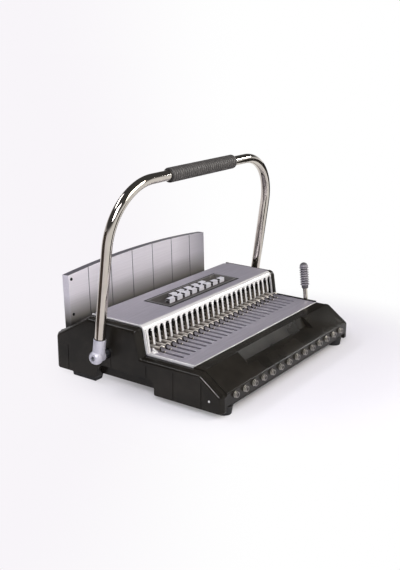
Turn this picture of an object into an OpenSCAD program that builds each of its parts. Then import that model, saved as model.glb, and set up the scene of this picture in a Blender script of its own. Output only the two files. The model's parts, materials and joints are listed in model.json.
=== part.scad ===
// Plastic-comb punching and binding machine for long sheets.
// X runs along the comb row, Y to the rear, Z up; the table is at Z = 0 and
// the origin lies under the middle of the whole machine.

/* [Body] */
// Width over the two side covers
body_w = 398; // [392:1:430]
// Width of each side cover
cheek_w = 13.5; // [13:0.5:18]
// Rounding of the side covers' outer edges
cheek_round = 8; // [4:0.5:9]
// Drop of the side covers below the decks and the front cover
cheek_drop = 2; // [1:0.5:3]
// Wall of the moulded covers
shell_t = 3; // [2:0.5:4]
// Rounding of the covers' corners in side view
corner_r = 5; // [3:0.5:8]
// Height of the lower deck's top
lower_z = 64; // [62:1:72]
// Height of the upper deck's top
upper_z = 106; // [102:1:120]
// Underside of the base pan above the table
pan_z = 13; // [10:1:14]
// Thickness of the deck sheets and the base pan
sheet_t = 2; // [1.5:0.5:2]
// Depth of the lower deck in front of the comb wall
lower_d = 84; // [80:1:100]
// Depth of the flat strip of the front cover
strip_d = 20; // [18:1:30]
// Depth of the sloping part of the front cover
slope_d = 37; // [34:1:45]
// Drop of the sloping part of the front cover
slope_h = 27; // [20:1:28]
// Bottom edge of the front face above the table
face_z = 18; // [16:1:20]
// Depth of the upper deck's flat top
upper_d = 92; // [90:1:100]
// Depth behind the upper deck
rear_d = 68; // [64:1:74]
// Height of the rear edge
rear_h = 66; // [64:1:70]

/* [Side covers] */
// Bottom edge of the side covers above the table
side_z = 8.5; // [7:0.5:14]
// Height of the arch between the rear foot and the front block
arch_z = 32; // [24:1:36]
// Front end of the arch in front of the comb wall
arch_front = 22; // [15:1:30]
// Rear end of the arch behind the comb wall
arch_rear = 84; // [70:1:90]
// Rounding of the arch
arch_r = 12; // [6:1:14]
// Width of the moulded seam grooves
seam_w = 1.2; // [0.8:0.2:2]
// Depth of the moulded seam grooves
seam_depth = 0.8; // [0.4:0.2:1.2]
// Top of the seam grooves
seam_z = 52; // [44:1:54]

/* [Front notch] */
// Length of the notch in the front cover
notch_w = 200; // [120:5:260]
// Depth of the notch below the strip
notch_h = 15; // [8:1:16]
// Forward lean of the notch's back wall
notch_run = 6; // [2:1:8]
// Depth of the notch in the flat strip
notch_back = 4; // [1:0.5:6]

/* [Comb wall] */
// Number of tines, hooks and punch pins
comb_count = 24; // [16:1:24]
// Distance between neighbouring tines
comb_pitch = 14.2875; // [14:0.0125:14.4]
// Width of a tine
tine_w = 5; // [4:0.5:6]
// Front-to-back depth of a tine
tine_depth = 4.5; // [3:0.5:6]
// Clear height between the tine tips and the lower deck
tine_clear = 8; // [8:0.5:10]
// Backward lean of the comb wall
wall_lean = 9; // [4:1:12]
// Outer radius of the bend into the upper deck
bend_r = 8; // [5:0.5:10]

/* [Comb opener] */
// Outer radius of a hook
hook_r = 6.2; // [5:0.2:6.6]
// Inner radius of a hook
hook_in_r = 4.2; // [2.8:0.2:4.4]
// Thickness of a hook
hook_t = 2.2; // [1.6:0.2:2.6]
// Height of a hook's neck
neck_h = 5.2; // [4:0.2:6]
// Distance of the hooks' centres in front of the comb wall
hook_front = 12.5; // [10:0.5:16]
// Height of the hooks' centres above the lower deck
hook_rise = 2; // [1:0.5:3]
// Travel of the hooks
hook_travel = 24; // [18:1:26]
// Front end of the slits in front of the comb wall
slit_front = 52; // [50:1:70]
// Height of the end stop beside the first tine
end_stop_h = 6.5; // [4:0.5:8]
// Length of the end stop in front of the comb wall
end_stop_l = 10.5; // [8:0.5:14]
// Distance from the end stop to the first tine's middle
end_stop_gap = 8.7; // [6:0.1:10]
// Swing of the small lever
lever_swing = 38; // [34:1:42]
// Backward lean of the small lever at rest
lever_lean = 6.4; // [2:0.2:10]
// Distance of the lever's shaft in front of the comb wall
lever_front = 65; // [60:1:72]
// Height of the lever's shaft
lever_z = 22; // [22:0.5:24]
// Diameter of the lever's rod
lever_rod_d = 8; // [6:0.5:8]
// Distance from the lever's shaft to the lower end of its grip
grip_start = 62; // [58:1:80]
// Length of the lever's grip
lever_grip_l = 47; // [35:1:60]
// Diameter of the lever's grip
lever_grip_d = 16; // [13:0.5:17]
// Diameter of the lever's shaft
lever_shaft_d = 10; // [8:0.5:11]
// Diameter of the drive pin
drive_pin_d = 5; // [4:0.5:6]

/* [Handle] */
// Distance from the side covers to the middle of the handle's arms
arm_gap = 18; // [17:0.5:24]
// Distance of the handle's pivot behind the comb wall
pivot_back = 67; // [62:1:72]
// Height of the handle's pivot
pivot_z = 55; // [55:0.5:60]
// Distance from the pivot to the handle's cross bar
handle_l = 259; // [220:1:280]
// Forward lean of the handle at rest
handle_lean = 7.5; // [4:0.5:12]
// Swing of the handle
handle_swing = 65; // [50:1:70]
// Diameter of the handle's tube
tube_d = 16; // [14:0.5:18]
// Wall of the handle's tube
tube_t = 2; // [1.5:0.25:3]
// Radius of the handle's bends at the tube's centre
handle_bend_r = 90; // [70:1:100]
// Length of the handle's grip
grip_l = 174; // [120:1:190]
// Diameter of the handle's grip
grip_d = 23; // [20:0.5:26]
// Number of ribs on the handle's grip
grip_ribs = 31; // [20:1:48]
// Diameter of the pivot hubs
hub_d = 21.5; // [20.5:0.5:26]
// Length of the pivot hubs
hub_l = 17; // [15:0.5:20]
// Offset of the pivot hubs outwards from the tube
hub_out = 4.5; // [2:0.5:6]
// Diameter of the sleeves that hold the tube
sleeve_d = 18.5; // [18.5:0.5:21]
// Length of the sleeves above the pivot
sleeve_l = 29; // [22:1:34]
// Diameter of the cross shaft
shaft_d = 14; // [12:0.5:15]

/* [Punch] */
// Stroke of the punch
punch_stroke = 12; // [10:0.5:12]
// Height of the punch pins
pin_z = 42; // [40:1:43]
// Width of a punch pin
pin_w = 8; // [6:0.5:9]
// Height of a punch pin
pin_h = 3; // [2:0.5:4]
// Distance from the side covers to the ends of the paper throat
throat_end = 6.5; // [6:0.25:7]
// Gap of the paper throat
throat_gap = 5.5; // [5:0.25:6]
// Distance of the paper throat in front of the rear end
throat_in = 28.5; // [26:0.5:32]
// Thickness of the pin guide and the die
die_t = 7.5; // [6:0.5:7.5]
// Height of the paper stop
stop_z = 36; // [35:0.5:37]
// Distance of the pressure bar's face behind the pivot at rest
bar_back = 21; // [20:0.5:24]
// Depth of the pressure bar
bar_d = 12; // [10:1:14]
// Thickness of a cam
cam_t = 10; // [6:1:14]
// Distance of the cams from the middle
cam_x = 120; // [80:1:140]

/* [Selectors] */
// Length of the key tray
tray_l = 194; // [185:1:210]
// Width of the key tray
tray_w = 48; // [44:1:56]
// Depth of the key tray
tray_depth = 4; // [3.5:0.5:7]
// Offset of the key tray from the middle
tray_x = 9; // [0:1:15]
// Distance of the tray's middle behind the comb wall
tray_back = 55; // [53:0.5:58]
// Number of keys in the front row
key_front_count = 8; // [4:1:8]
// Number of keys in the rear row
key_rear_count = 5; // [2:1:5]
// Distance from the tray's left end to the middle of the first key
key_left = 30; // [27:1:38]
// Distance from the middle of the last key to the tray's right end
key_right = 21; // [18:1:24]
// Distance between the two rows of keys
key_row_gap = 12.5; // [11.5:0.5:13]
// Width of a key
key_w = 14.5; // [10:0.5:15]
// Depth of a key
key_d = 8.3; // [6:0.1:8.5]
// Height of a key above the tray's floor
key_h = 8; // [6:0.5:9]
// Travel of a key
key_travel = 4; // [3:0.5:5]
// Number of pull knobs
knob_count = 14; // [8:1:14]
// Distance from the side covers to the first pull knob
knob_end = 21.05; // [19:0.05:50]
// Height of the pull knobs
knob_z = 29.5; // [29:0.5:30.5]
// Diameter of a pull knob
knob_d = 10; // [9:0.5:12.5]
// Length of a pull knob in front of the cover
knob_out = 5; // [5:0.5:14]
// Diameter of a pull knob's stem
knob_stem_d = 5; // [4:0.5:6]
// Travel of a pull knob
knob_travel = 7; // [5:0.5:10]

/* [Paper support] */
// Distance from the side covers to the ends of the paper support
panel_end = 3; // [1:0.5:14]
// Depth of the paper support's folded edges
panel_d = 13; // [10:0.5:13]
// Height of the paper support's corners
panel_z = 157; // [140:1:180]
// Rise of the arched top edge
panel_rise = 9; // [4:0.5:20]
// Backward lean of the paper support
panel_lean = 2; // [0:0.25:2]
// Distance between the grooves in the paper support
groove_pitch = 54.6; // [50:0.2:58]
// Width of a groove
groove_w = 2; // [1:0.2:3]
// Depth of a groove
groove_depth = 1; // [0.4:0.1:1.2]
// Diameter of the cover screws' heads
screw_d = 5; // [4:0.5:6]

/* [Fits] */
// Radial clearance of running shafts and pins
run_clear = 0.05; // [0.02:0.01:0.1]
// Clearance of sliding pieces
slide_clear = 0.3; // [0.2:0.05:0.4]
// Radial play of pieces fixed on a shaft
seat_clear = 0.02; // [0.01:0.01:0.05]

/* [Hidden] */
$fn = 48;
deck_w = body_w - 2 * cheek_w;
throat_w = deck_w - 2 * throat_end;
panel_w = deck_w - 2 * panel_end;
arm_x = body_w / 2 + arm_gap;
comb_fit = min(comb_count, floor((throat_w - tine_w) / comb_pitch));
knob_pitch = (deck_w - 2 * knob_end) / (knob_count - 1);
eps = 0.01;
far = 600;

// Places along the machine, from the front to the rear
bend_run = bend_r * tan((90 - wall_lean) / 2);
wall_run = (upper_z - lower_z) * tan(wall_lean) + bend_run;
wall_y = (lower_d + strip_d + slope_d + knob_out - wall_run - upper_d - rear_d) / 2;
lower_y = wall_y - lower_d;
ridge_y = lower_y - strip_d;
front_y = ridge_y - slope_d;
upper_y = wall_y + wall_run;
deck_y = upper_y + upper_d;
rear_y = deck_y + rear_d;
lip_z = lower_z - slope_h;
pan_top = pan_z + sheet_t;

// Comb wall, measured along its leaning face from the lower deck
gap_w = comb_pitch - tine_w;
tangent_s = (upper_z - lower_z) / cos(wall_lean) - bend_run;
arch_s = tangent_s - gap_w / 2;
tip_s = tine_clear / cos(wall_lean);
window_w = comb_fit * comb_pitch + gap_w;
deck_tuck = 14;

// Comb opener
hook_y = wall_y - hook_front;
hook_z = lower_z + hook_rise;
mouth_low = 20;
mouth_high = 50;
slit_w = hook_t + 4 * slide_clear;
slit_back = hook_front - hook_r - 2;
neck_z = lower_z + 1.2;
hook_bar_y = wall_y + deck_tuck + hook_travel + 2;
hook_bar_d = 10;
hook_bar_h = 10;
hook_bar_z = lower_z + 0.6;
frame_x = throat_w / 2 + 0.5;
frame_t = 3;
bar_end = frame_x - 3.5;
tenon_d = 8;
tenon_h = 6;
hook_tenon_z = hook_bar_z + (hook_bar_h - tenon_h) / 2;
lever_y = wall_y - lever_front;
lever_x = deck_w / 2 + 1 + slide_clear + lever_rod_d / 2;
crank_t = 3.5;
crank_x = frame_x - 5 - crank_t;
arm_t = 3.5;
arm_in = crank_x - 1 - arm_t;
drive_h = hook_travel / (2 * tan(lever_swing / 2));
drive_y = lever_y + hook_travel / 2;
drive_z = lever_z + drive_h;
drive_play = 0.6;
arm_h = drive_pin_d + 4;
lever_boss_d = lever_shaft_d + 5;
end_stop_t = 1;
rim_h = 2;
rim_t = 1.6;
end_stop_foot = 6;

// Handle, cams and punch
shaft_y = wall_y + pivot_back;
bar_y = shaft_y + bar_back;
cam_rate = punch_stroke / (handle_swing * PI / 180);
cam_base = bar_back - slide_clear;
cam_boss_r = shaft_d / 2 + 5;
throat_y = rear_y - throat_in;
die_y = throat_y + throat_gap;
die_low = stop_z - 3;
die_top = rear_h - shell_t - 1;
bar_low = die_low;
bar_h = 24;
punch_tenon_z = bar_low + 8;
bush_d = shaft_d + 6;
bush_l = 10;

// Selectors
tray_y = wall_y + tray_back;
tray_floor = upper_z - tray_depth;
tray_bevel = 6;
tray_rim = 2;
tray_rim_t = 1;
key_y = tray_y - 3;
key_flange = 1;
key_pitch = (tray_l - key_left - key_right) / (key_front_count - 1);
rail_d = 12;
rail_h = knob_d - 1;
rail_w = 2 * frame_x - 6;

// Rear cover and chip tray
trough_z = upper_z - 9;
trough_low = trough_z - (throat_y - deck_y) * (upper_z - rear_h) / rear_d;
chip_w = throat_w - 28;
chip_d = 56;
chip_top = die_low - 1.5;
ledge_y = die_y + 1;
foot_in = 13.5;

// Side covers and frame plates
seam_places = [ridge_y - 3, lower_y + 26, wall_y - 9, wall_y + 58, rear_y - 28.5];
block_lap = 45;
ground_cut = 20;
frame_front = lower_y + 6;

selector_front_keys = [for (i = [1:key_front_count]) str("front_key_", i)];
selector_rear_keys = [for (i = [1:key_rear_count]) str("rear_key_", i)];
pull_knobs = [for (i = [1:knob_count]) str("pull_knob_", i)];

// Helpers
function arc(c, r, from, to, steps) =
    [for (i = [0:steps]) c + r * [cos(from + (to - from) * i / steps), sin(from + (to - from) * i / steps)]];
function around(c, half) = [c - half, c + half];
function span(from, l) = [from, from + l];
function comb_x(i) = (i - (comb_fit - 1) / 2) * comb_pitch;
function key_front_x(i) = tray_x - tray_l / 2 + key_left + (i - 1) * key_pitch;
function key_rear_x(i) = key_front_x(i + 1) + 2;
function knob_x(i) = (i - (knob_count + 1) / 2) * knob_pitch;

module block(x, y, z) {
    translate([x[0], y[0], z[0]]) cube([x[1] - x[0], y[1] - y[0], z[1] - z[0]]);
}

// A side-view outline in Y and Z, drawn out along X
module side_profile(from, to) {
    translate([from, 0, 0]) rotate([90, 0, 90]) linear_extrude(to - from) children();
}

module rod_x(d, from, to, y, z) {
    translate([from, y, z]) rotate([0, 90, 0]) cylinder(d = d, h = to - from);
}

module on_wall() {
    translate([0, wall_y, lower_z]) rotate([-wall_lean, 0, 0]) children();
}

module on_handle() {
    translate([0, shaft_y, pivot_z]) rotate([handle_lean, 0, 0]) children();
}

module on_lever() {
    translate([lever_x, lever_y, lever_z]) rotate([-lever_lean, 0, 0]) children();
}

module both_sides() {
    children();
    mirror([1, 0, 0]) children();
}

// Base pan: folded sheet with low side walls, open at the rear for the chip tray
module base_pan() {
    pan_front = front_y + shell_t;
    pan_rear = rear_y - shell_t;
    wall_top = arch_z + 8;
    color("#2b2b2b") difference() {
        block([-deck_w / 2, deck_w / 2], [pan_front, pan_rear], [pan_z, wall_top]);
        block([-deck_w / 2 + sheet_t, deck_w / 2 - sheet_t],
              [pan_front - 1, pan_rear + 1], [pan_top, wall_top + 1]);
        both_sides() block([deck_w / 2 - sheet_t - 1, deck_w / 2 + 1],
                           [pan_front - 1, lower_y + slide_clear], [face_z - slide_clear, wall_top + 1]);
        rod_x(lever_shaft_d + 2, deck_w / 2 - sheet_t - 1, deck_w / 2 + 1, lever_y, lever_z);
    }
}

// Side cover outline; the front and the rear block are each convex
module rounded_outline(inset) {
    offset(r = corner_r, $fn = 24) offset(delta = -inset - corner_r) children();
}

module rear_block_outline(inset) {
    rounded_outline(inset) polygon([
        [rear_y, -ground_cut],
        [rear_y, rear_h - cheek_drop],
        [deck_y, upper_z - cheek_drop],
        [upper_y - bend_run / 2, upper_z - cheek_drop],
        [wall_y + 1, lower_z - cheek_drop],
        [wall_y + 1, -ground_cut]]);
}

module front_block_outline(inset) {
    rounded_outline(inset) polygon([
        [wall_y + block_lap, -ground_cut],
        [wall_y + block_lap, lower_z - cheek_drop],
        [ridge_y, lower_z - cheek_drop],
        [front_y, lip_z - cheek_drop],
        [front_y, -ground_cut]]);
}

// A block whose outer edge is rounded, stacked from its inner face outwards
module rounded_block(front) {
    steps = 6;
    slice = 0.05;
    hull() {
        for (i = [0:steps]) {
            a = 90 * i / steps;
            out = cheek_w - cheek_round + cheek_round * sin(a);
            side_profile(out - slice, out) {
                if (front) front_block_outline(cheek_round * (1 - cos(a)));
                else rear_block_outline(cheek_round * (1 - cos(a)));
            }
        }
        side_profile(0, slice) {
            if (front) front_block_outline(0);
            else rear_block_outline(0);
        }
    }
}

module cover_cavity() {
    cavity = cheek_round + 1;
    side_profile(-1, cheek_w - shell_t) {
        rear_block_outline(cavity);
        front_block_outline(cavity);
    }
}

// Right-hand side cover standing on x = 0; the lever needs a slot in the top
module side_cover(lever_slot) {
    front_end = wall_y - arch_front;
    rear_end = wall_y + arch_rear;
    difference() {
        union() {
            rounded_block(true);
            rounded_block(false);
        }
        cover_cavity();
        block([-1, cheek_w + 1], [-far, far], [-far, side_z]);
        side_profile(-1, cheek_w + 1) polygon(concat(
            [[rear_end + arch_r / 2, side_z - 1]],
            arc([rear_end - arch_r, arch_z - arch_r], arch_r, 0, 90, 8),
            arc([front_end + arch_r, arch_z - arch_r], arch_r, 90, 180, 8),
            [[front_end, side_z - 1]]));
        for (y = seam_places) {
            block([cheek_w - seam_depth, cheek_w + 1], span(y, seam_w), [side_z - 1, seam_z]);
        }
        rod_x(shaft_d + 3, cheek_w - shell_t - 1, cheek_w + 1, shaft_y, pivot_z);
        if (lever_slot) lever_slot_cut();
    }
}

module lever_slot_cut() {
    reach = lower_z - lever_z;
    half = lever_rod_d / 2 + slide_clear + 0.5;
    at_rest = lever_y + reach * tan(lever_lean) + half + 1;
    pulled = lever_y - reach * tan(lever_swing - lever_lean) - half / cos(lever_swing - lever_lean) - 1;
    block([-1, 1 + 2 * slide_clear + lever_rod_d + 0.5], [pulled, at_rest], [lower_z - 26, lower_z + 2]);
}

module right_side_cover() {
    color("#1c1c1e") translate([deck_w / 2, 0, 0]) side_cover(true);
}

module left_side_cover() {
    color("#1c1c1e") mirror([1, 0, 0]) translate([deck_w / 2, 0, 0]) side_cover(false);
}

// Front cover: strip, slope and face, with a notch in the slope
module front_outline(inset) {
    offset(r = corner_r / 2) offset(delta = -inset - corner_r / 2) polygon([
        [lower_y + block_lap, lower_z - 0.5],
        [ridge_y, lower_z - 0.5],
        [front_y, lip_z],
        [front_y, -ground_cut],
        [lower_y + block_lap, -ground_cut]]);
}

module notch_shape(wall) {
    foot = ridge_y - notch_run;
    low = lower_z - notch_h;
    side_profile(-notch_w / 2 - wall, notch_w / 2 + wall) polygon([
        [ridge_y + notch_back + wall, lower_z + 1],
        [ridge_y + notch_back + wall, lower_z - 1],
        [foot + wall, low - wall],
        [front_y - 10, low - 1.5 - wall],
        [front_y - 10, lower_z + 1]]);
}

module front_cover() {
    color("#1c1c1e") difference() {
        side_profile(-deck_w / 2, deck_w / 2) front_outline(0);
        difference() {
            side_profile(-deck_w / 2 + shell_t, deck_w / 2 - shell_t) front_outline(shell_t);
            notch_shape(shell_t);
        }
        notch_shape(0);
        block([-far, far], [lower_y, lower_y + far], [-far, far]);
        block([-far, far], [-far, far], [-far, face_z]);
        for (i = [1:knob_count]) {
            translate([knob_x(i), front_y - 1, knob_z]) rotate([-90, 0, 0])
                cylinder(d = knob_stem_d + 2 * slide_clear, h = shell_t + 2);
        }
    }
}

// Rear cover: trough down to the paper throat, ledge for the support, rear wall
module rear_cover() {
    flange_y = deck_y;
    color("#1c1c1e") difference() {
        union() {
            side_profile(-deck_w / 2, deck_w / 2) polygon([
                [flange_y, trough_z],
                [throat_y, trough_low],
                [throat_y, trough_low - shell_t - 3],
                [throat_y - shell_t, trough_low - shell_t - 3],
                [throat_y - shell_t, trough_low - shell_t + 1.5],
                [flange_y, trough_z - shell_t]]);
            block([-deck_w / 2, deck_w / 2], [ledge_y, rear_y], [rear_h - shell_t, rear_h]);
            block([-deck_w / 2, deck_w / 2], [rear_y - shell_t, rear_y], [pan_z, rear_h]);
            both_sides() block([frame_x - 0.5, deck_w / 2],
                               [throat_y - eps, ledge_y + eps], [rear_h - shell_t, rear_h]);
            both_sides() block([frame_x - 0.5, deck_w / 2],
                               [throat_y - shell_t, throat_y], [rear_h - shell_t, trough_low - shell_t]);
        }
        block([-chip_w / 2 - slide_clear, chip_w / 2 + slide_clear], [rear_y - shell_t - 1, rear_y + 1],
              [pan_z - 1, chip_top + slide_clear]);
    }
}

// Upper deck: flat sheet with a rear flange and a cut-out for the key tray
module top_deck() {
    flange_h = 11;
    corner = 7;
    color("#b9bbc2") difference() {
        union() {
            block([-deck_w / 2, deck_w / 2], [upper_y, deck_y], [upper_z - sheet_t, upper_z]);
            block([-deck_w / 2, deck_w / 2], [deck_y - sheet_t, deck_y], [upper_z - flange_h, upper_z]);
        }
        both_sides() translate([deck_w / 2, deck_y, upper_z - flange_h - 1]) rotate([0, 0, 45])
            cube([2 * corner, corner * sqrt(2), 2 * flange_h + 4], center = true);
        translate([tray_x, tray_y, upper_z])
            cube([tray_l - 2 * tray_rim, tray_w - 2 * tray_rim, 3 * sheet_t], center = true);
    }
}

// Comb wall: bent band with rounded gap tops, two full-height ends and raised rims
module comb_wall() {
    bend_c = [upper_y, upper_z - bend_r];
    back = sheet_t / cos(wall_lean);
    color("#e4e4e6") difference() {
        union() {
            side_profile(-deck_w / 2, deck_w / 2) polygon(concat(
                [[wall_y, lower_z]],
                arc(bend_c, bend_r, 180 - wall_lean, 90, 12),
                arc(bend_c, bend_r - sheet_t, 90, 180 - wall_lean, 12),
                [[wall_y + back, lower_z]]));
            on_wall() both_sides() block([deck_w / 2 - rim_t, deck_w / 2], [-rim_h, eps], [0, tangent_s]);
        }
        on_wall() {
            block([-window_w / 2, window_w / 2], [-1, tine_depth], [-10, arch_s]);
            for (i = [0:comb_fit]) {
                translate([comb_x(i - 0.5), -1, arch_s]) rotate([-90, 0, 0])
                    cylinder(d = gap_w, h = tine_depth);
            }
        }
    }
}

// Tines: round-ended blades below the band
module comb_tines() {
    color("#f0f0f0") on_wall() for (i = [0:comb_fit - 1]) {
        translate([comb_x(i), tine_depth, 0]) rotate([90, 0, 0]) linear_extrude(tine_depth) {
            translate([-tine_w / 2, tip_s + tine_w / 2]) square([tine_w, arch_s - tip_s - tine_w / 2]);
            translate([0, tip_s + tine_w / 2]) circle(d = tine_w);
        }
    }
}

// End stop: small folded bracket beside the first tine
module end_stop() {
    x = comb_x(0) - end_stop_gap;
    back = wall_y - slide_clear;
    front = back - end_stop_l;
    color("#e4e4e6") {
        side_profile(x, x + end_stop_t) polygon([
            [back, lower_z],
            [back, lower_z + end_stop_h],
            [back - 3, lower_z + end_stop_h - 1],
            [front, lower_z + end_stop_t],
            [front, lower_z]]);
        block([x - end_stop_foot, x + end_stop_t], [front + 1.5, back - 1], span(lower_z, end_stop_t));
    }
}

// Lower deck: sheet with one slit for each hook and a folded front edge
module lower_deck() {
    fold_h = 7;
    color("#b9bbc2") difference() {
        union() {
            block([-deck_w / 2, deck_w / 2], [lower_y, wall_y + deck_tuck], [lower_z - sheet_t, lower_z]);
            block([-deck_w / 2 + shell_t, deck_w / 2 - shell_t],
                  [lower_y, lower_y + sheet_t], [lower_z - fold_h, lower_z]);
            both_sides() block([deck_w / 2 - rim_t, deck_w / 2],
                               [lower_y, wall_y - rim_h - slide_clear], [lower_z - eps, lower_z + rim_h]);
        }
        for (i = [0:comb_fit - 1]) {
            block(around(comb_x(i), slit_w / 2),
                  [wall_y - slit_front + slit_w / 2, wall_y - slit_back],
                  [lower_z - sheet_t - 1, lower_z + 1]);
            translate([comb_x(i), wall_y - slit_front + slit_w / 2, lower_z - sheet_t - 1])
                cylinder(d = slit_w, h = sheet_t + 2);
        }
    }
}

// Key tray: bevelled recess with an opening for each key
module selector_tray() {
    floor_t = 2;
    hole_w = key_w + 2 * slide_clear;
    hole_d = key_d + 2 * slide_clear;
    fit_l = tray_l - 2 * tray_rim - 2 * slide_clear;
    fit_w = tray_w - 2 * tray_rim - 2 * slide_clear;
    inner_l = tray_l - 2 * tray_rim - 2;
    inner_w = tray_w - 2 * tray_rim - 2;
    color("#4b4b4e") difference() {
        translate([tray_x, tray_y, 0]) union() {
            translate([-tray_l / 2, -tray_w / 2, upper_z]) cube([tray_l, tray_w, tray_rim_t]);
            translate([-fit_l / 2, -fit_w / 2, tray_floor - floor_t])
                cube([fit_l, fit_w, tray_depth + floor_t + tray_rim_t / 2]);
        }
        translate([tray_x, tray_y, 0]) hull() {
            translate([-inner_l / 2, -inner_w / 2, upper_z + tray_rim_t]) cube([inner_l, inner_w, 1]);
            translate([tray_bevel - inner_l / 2, tray_bevel - inner_w / 2, tray_floor])
                cube([inner_l - 2 * tray_bevel, inner_w - 2 * tray_bevel, 1]);
        }
        for (i = [1:key_front_count]) {
            translate([key_front_x(i), key_y, tray_floor]) cube([hole_w, hole_d, 3 * floor_t], center = true);
        }
        for (i = [1:key_rear_count]) {
            translate([key_rear_x(i), key_y + key_row_gap, tray_floor])
                cube([hole_w, hole_d, 3 * floor_t], center = true);
        }
    }
}

// One key: a cap that sinks into the tray, held below by a flange
module selector_key(x, y) {
    floor_t = 2;
    flange_t = 1.5;
    low = tray_floor - floor_t - slide_clear - flange_t;
    color("#d4d5d8") translate([x, y, low]) {
        translate([-key_w / 2, -key_d / 2, 0]) cube([key_w, key_d, tray_floor + key_h - low]);
        translate([-key_w / 2 - key_flange, -key_d / 2 - key_flange, 0])
            cube([key_w + 2 * key_flange, key_d + 2 * key_flange, flange_t]);
    }
}

// Paper support: folded panel with an arched top and pressed grooves
module panel_face(inset) {
    arch_radius = (panel_w * panel_w / 4 + panel_rise * panel_rise) / (2 * panel_rise);
    rise = panel_z - rear_h;
    intersection() {
        translate([-panel_w / 2 + inset, -20]) square([panel_w - 2 * inset, rise + panel_rise + 40]);
        translate([0, rise + panel_rise - arch_radius]) circle(r = arch_radius - inset, $fn = 240);
    }
}

module paper_support() {
    color("#b4b6bb") intersection() {
        translate([0, ledge_y + 0.5, rear_h]) rotate([-panel_lean, 0, 0]) difference() {
            translate([0, panel_d, 0]) rotate([90, 0, 0]) linear_extrude(panel_d) panel_face(0);
            translate([0, panel_d + 1, 0]) rotate([90, 0, 0])
                linear_extrude(panel_d + 1 - sheet_t) panel_face(sheet_t);
            for (i = [-2.5:2.5]) {
                block(around(i * groove_pitch, groove_w / 2), [-1, groove_depth], [-20, far]);
            }
        }
        block([-far, far], [-far, far], [rear_h, far]);
    }
}

// Screws of the paper support, at the left end of the panel
module cover_screws() {
    rise = panel_z - rear_h;
    color("#151515") translate([0, ledge_y + 0.5, rear_h]) rotate([-panel_lean, 0, 0]) {
        for (z = [rise * 0.3, rise - 7]) {
            translate([6 - panel_w / 2, 0, z]) rotate([90, 0, 0]) cylinder(d = screw_d, h = 1.5);
        }
    }
}

// Feet: tapered rubber at the front, long blocks at the rear
module feet() {
    front_foot_y = front_y + foot_in;
    rear_foot_y = wall_y + arch_rear + 12;
    rear_foot_l = 46;
    color("#101010") both_sides() {
        translate([deck_w / 2 - foot_in, front_foot_y, 0]) cylinder(d1 = 22, d2 = 26, h = pan_z);
        hull() {
            block([deck_w / 2 - 8, body_w / 2 - shell_t - 3],
                  [rear_foot_y, rear_foot_y + rear_foot_l], [0, 1]);
            block([deck_w / 2 - 10, body_w / 2 - shell_t - 2],
                  [rear_foot_y - 3, rear_foot_y + rear_foot_l + 2], [pan_z - 1, pan_z]);
        }
    }
}

// Frame plates: steel sides that carry the shaft, the die and the carriages
module frame_plate(right) {
    difference() {
        side_profile(frame_x, frame_x + frame_t) polygon([
            [frame_front, pan_top],
            [frame_front, lower_z - sheet_t],
            [wall_y + deck_tuck, lower_z - sheet_t],
            [upper_y + 2, upper_z - sheet_t],
            [deck_y - sheet_t - 0.5, upper_z - sheet_t],
            [deck_y - sheet_t - 0.5, trough_z - shell_t - 1],
            [throat_y - shell_t - 1, trough_low - shell_t - 4],
            [throat_y - shell_t - 1, rear_h - shell_t],
            [rear_y - shell_t - 1, rear_h - shell_t],
            [rear_y - shell_t - 1, pan_top]]);
        rod_x(bush_d, frame_x - 1, frame_x + frame_t + 1, shaft_y, pivot_z);
        block([frame_x - 1, frame_x + frame_t + 1],
              [hook_bar_y - hook_travel - slide_clear, hook_bar_y + tenon_d + slide_clear],
              around(hook_tenon_z + tenon_h / 2, tenon_h / 2 + slide_clear));
        block([frame_x - 1, frame_x + frame_t + 1],
              [bar_y - slide_clear, bar_y + tenon_d + punch_stroke + slide_clear],
              around(punch_tenon_z + tenon_h / 2, tenon_h / 2 + slide_clear));
        if (right) rod_x(lever_shaft_d + 2 * run_clear, frame_x - 1, frame_x + frame_t + 1, lever_y, lever_z);
    }
}

module frame_plates() {
    color("#8d9096") {
        frame_plate(true);
        mirror([1, 0, 0]) frame_plate(false);
    }
}

module pin_windows(from, to, play) {
    for (i = [0:comb_fit - 1]) {
        block(around(comb_x(i), pin_w / 2 + play), [from, to], around(pin_z, pin_h / 2 + play));
    }
}

// Pin guide in front of the throat
module pin_guide() {
    color("#7d8086") difference() {
        block([-frame_x, frame_x],
              [throat_y - shell_t - die_t, throat_y - shell_t], [die_low, trough_low - shell_t - 6]);
        pin_windows(throat_y - shell_t - die_t - 1, throat_y + 1, slide_clear / 2);
    }
}

// Die behind the throat, with the paper stop at its foot
module die_plate() {
    color("#7d8086") difference() {
        union() {
            block([-frame_x, frame_x], [die_y, die_y + die_t], [die_low, die_top]);
            block([-frame_x, frame_x], [throat_y - shell_t, die_y + 1], [die_low, stop_z]);
        }
        pin_windows(die_y - 1, die_y + die_t + 1, slide_clear / 2);
    }
}

module shaft_bushes() {
    color("#b08d57") both_sides() difference() {
        union() {
            rod_x(bush_d - 2 * seat_clear, frame_x - eps, frame_x + frame_t, shaft_y, pivot_z);
            rod_x(bush_d + 6, frame_x - 2, frame_x, shaft_y, pivot_z);
        }
        rod_x(shaft_d + 2 * run_clear, frame_x - 3, frame_x + bush_l, shaft_y, pivot_z);
    }
}

// Guide rail of the pull knobs, behind the front face
module knob_rail() {
    rail_y = front_y + shell_t;
    color("#9a9da3") difference() {
        block([-rail_w / 2, rail_w / 2], span(rail_y, rail_d), around(knob_z, rail_h / 2));
        for (i = [1:knob_count]) {
            translate([knob_x(i), rail_y - 1, knob_z]) rotate([-90, 0, 0])
                cylinder(d = knob_stem_d + 2 * run_clear, h = rail_d + 2);
        }
    }
}

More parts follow.
